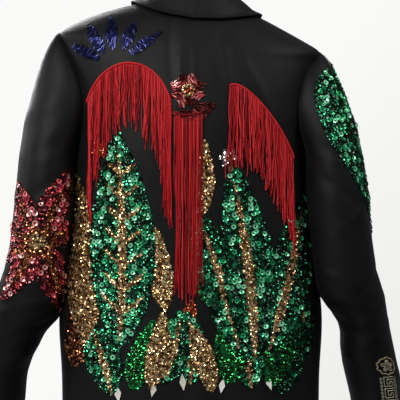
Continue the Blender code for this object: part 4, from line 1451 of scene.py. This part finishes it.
runs = [above(node, row) for node in ("back", "front_left", "front_right") for row in (3, 4)]
runs += [above("front_left", np.s_[:, column])[:-3] for column in (-3, -5)]
cuff_rows = [above(node, row) for node in ("sleeve_left", "sleeve_right") for row in (-4, -5)]
runs += [np.concatenate([row, row[:1]]) for row in cuff_rows]
runs += [above("collar_fall", row) for row in (-2, -3)]
runs += [above(node, 2) for node in ("sleeve_left", "sleeve_right")]
stitched("topstitching", runs, BLACK_THREAD, *BLACK_STITCH)

# The right cuff: a roundel of five petals over a Greek-key band, all in gold thread
CUFF_U = 0.0585
ROUNDEL_V = -0.611
ROUNDEL_RADIUS = 0.0152
STRETCH_U = 1.26
BAND_TOP, BAND_FOOT = -0.630, -0.704
KEY_UNIT = 0.0040
KEY_CELL = ((0, 0), (0, 4), (4, 4), (4, 1), (2, 1), (2, 2), (3, 2), (3, 3), (1, 3), (1, 0), (5, 0))
THREAD = 0.00072
# How much the band leans aside for each metre down the cuff, and where its border lines lie across it
LEAN = 0.06
SILVER_ACROSS = (-0.0128, -0.0104, 0.0104, 0.0128)
GOLD_ACROSS = (-0.0116, 0.0116)


def on_cuff(lines, step=0.0009, lift=0.0008):
    """Lines about the band's middle laid on the cuff, each as evenly spaced points above the cloth."""
    found = []
    for line in lines:
        across, up = evenly(line, step).T
        points = np.column_stack([CUFF_U + across * STRETCH_U + (ROUNDEL_V - up) * LEAN, up])
        found.append(laid(RIGHT_CANVAS, points, lift)[0])
    return found


def gold_cords(name, lines, radius):
    """Gold cords along lines on the cuff, each a piece of its own."""
    for number, line in enumerate(on_cuff(lines)):
        tubes(f"{name}_{number}", [line], np.full((1, len(line)), radius), 6, GOLD_THREAD)


def border(across):
    """A straight line down the cuff's band."""
    return [(across, BAND_TOP + 0.001), (across, BAND_FOOT)]


def circle(size, wave=0.0, count=0):
    """A ring about the roundel's middle, scalloped where it has a wave."""
    turn = np.linspace(0, 2 * math.pi, 181)
    reach = ROUNDEL_RADIUS * size * (1 + wave * np.abs(np.sin(count * turn / 2)))
    return np.column_stack([reach * np.cos(turn), ROUNDEL_V + reach * np.sin(turn)])


def petal(turn, size):
    """One petal's outline, out from the middle of the roundel. Smaller ones inside it fill it."""
    share = np.linspace(0, 1, 40)
    out = ROUNDEL_RADIUS * (0.42 - size * 0.24 * np.cos(math.pi * share))
    half = ROUNDEL_RADIUS * 0.17 * size * np.sin(math.pi * share)
    line = np.concatenate([np.column_stack([half, out]), np.column_stack([-half, out])[::-1]])
    return turned(line, turn, (0, ROUNDEL_V))


key_steps = [
    ((y - 2) * KEY_UNIT, BAND_TOP - (5 * cell + x) * KEY_UNIT)
    for cell in range(4) for x, y in KEY_CELL
    if BAND_TOP - (5 * cell + x) * KEY_UNIT > BAND_FOOT
]
roundel = [circle(0.90, 0.14, 10), circle(0.84, 0.14, 10), circle(0.08)]
roundel += [petal(turn, size) for turn in range(0, 360, 72) for size in (1.0, 0.55)]
gold_cords("cuff_gold", [key_steps, *roundel], THREAD)
silver = on_cuff([border(across) for across in SILVER_ACROSS], 0.002, 0.0006)
stitched("cuff_silver", silver, SILVER_THREAD, *SILVER_STITCH)
gold_cords("cuff_edge", [border(across) for across in GOLD_ACROSS], THREAD * 0.8)


# Camera, light and floor

def placed(name, data, place):
    """A new object at a place."""
    made = bpy.data.objects.new(name, data)
    made.location = place
    bpy.context.scene.collection.objects.link(made)
    return made


AIM = Vector((-0.016, 0.0, -0.331))
CAMERA_DISTANCE = 3.0
VIEW_WIDTH = 0.68
SENSOR = 36.0

camera = placed("camera", bpy.data.cameras.new("camera"), AIM + Vector((0, CAMERA_DISTANCE, 0)))
camera.rotation_euler = (math.radians(90), 0, math.radians(180))
camera.data.sensor_width = SENSOR
camera.data.lens = SENSOR * CAMERA_DISTANCE / VIEW_WIDTH
bpy.context.scene.camera = camera

for name, place, aim, size, power, colour in (
    ("key_light", (0.85, 1.3, 0.75), (0.05, 0, -0.18), 0.6, 20, (1.0, 0.99, 0.97)),
    ("fill_light", (-1.15, 0.6, 0.95), (-0.2, 0, -0.05), 0.6, 9.5, (1, 1, 1)),
    ("front_light", (1.2, -2.2, 0.9), (0, 0, -0.3), 1.2, 85, (1, 1, 1)),
    ("side_light", (2.4, -0.5, 0.5), (0.3, 0, -0.25), 1.0, 13, (1, 1, 1)),
    ("low_light", (0.9, 1.2, -1.5), (0.3, 0.1, -0.5), 2.6, 7, (1, 1, 1)),
):
    light = bpy.data.lights.new(name, "AREA")
    light.size = size
    light.energy = power
    light.color = colour
    shine = (Vector(aim) - Vector(place)).to_track_quat("-Z", "Y")
    placed(name, light, place).rotation_euler = shine.to_euler()

world = bpy.data.worlds.new("pale_studio")
bpy.context.scene.world = world
bpy.context.scene.view_settings.view_transform = "Standard"
world.use_nodes = True
tree = world.node_tree
tree.nodes.clear()
seen = new_node(tree, "Background", Color=(0.955, 0.955, 0.95, 1.0), Strength=1.0)
glow = new_node(tree, "Background", Color=(0.92, 0.95, 1.0, 1.0), Strength=0.13)
mix = new_node(tree, "MixShader", Fac=new_node(tree, "LightPath").outputs["Is Camera Ray"])
tree.links.new(glow.outputs["Background"], mix.inputs[1])
tree.links.new(seen.outputs["Background"], mix.inputs[2])
new_node(tree, "OutputWorld", Surface=mix.outputs["Shader"])


def stage_plane(name, size, place, material, turn=(0, 0, 0)):
    """A plane that is seen but lights nothing."""
    bpy.ops.mesh.primitive_plane_add(size=size, location=place, rotation=turn)
    plane = bpy.context.object
    plane.name = name
    plane.data.materials.append(material)
    plane.visible_diffuse = plane.visible_glossy = False
    return plane


floor_material, _, _ = shader_of(
    "pale_floor", (0.78, 0.78, 0.77), Roughness=0.85, Emission_Color=(0.8, 0.8, 0.79, 1), Emission_Strength=0.6
)
stage_plane("floor", 7, (0, 0, -1.55), floor_material)

# A pale wall far behind, with painted shade: a little darker towards the lower right of the picture
wall_material = bpy.data.materials.new("pale_wall")
wall_material.use_nodes = True
tree = wall_material.node_tree
tree.nodes.clear()
slope = new_node(
    tree, "Mapping", Vector=object_place(tree), Rotation=(0, 0, math.radians(40)), Scale=(0.26, 0.26, 0.26)
)
across = new_node(tree, "TexGradient", Vector=slope.outputs["Vector"]).outputs["Fac"]
shade = ramp(tree, across, (0.0, (0.955, 0.955, 0.945)), (0.5, (0.84, 0.84, 0.825)))
light = new_node(tree, "Emission", Strength=1.0, Color=shade)
new_node(tree, "OutputMaterial", Surface=light.outputs["Emission"])
upright = (math.radians(90), 0, math.radians(180))
stage_plane("back_wall", 5, (0, -9, -0.3), wall_material, upright).visible_shadow = False

for node, piece in CLOTH_PIECES.items():
    flat, area = flat_size(GRIDS[node], node.startswith("sleeve"), node.startswith(("back", "front")))
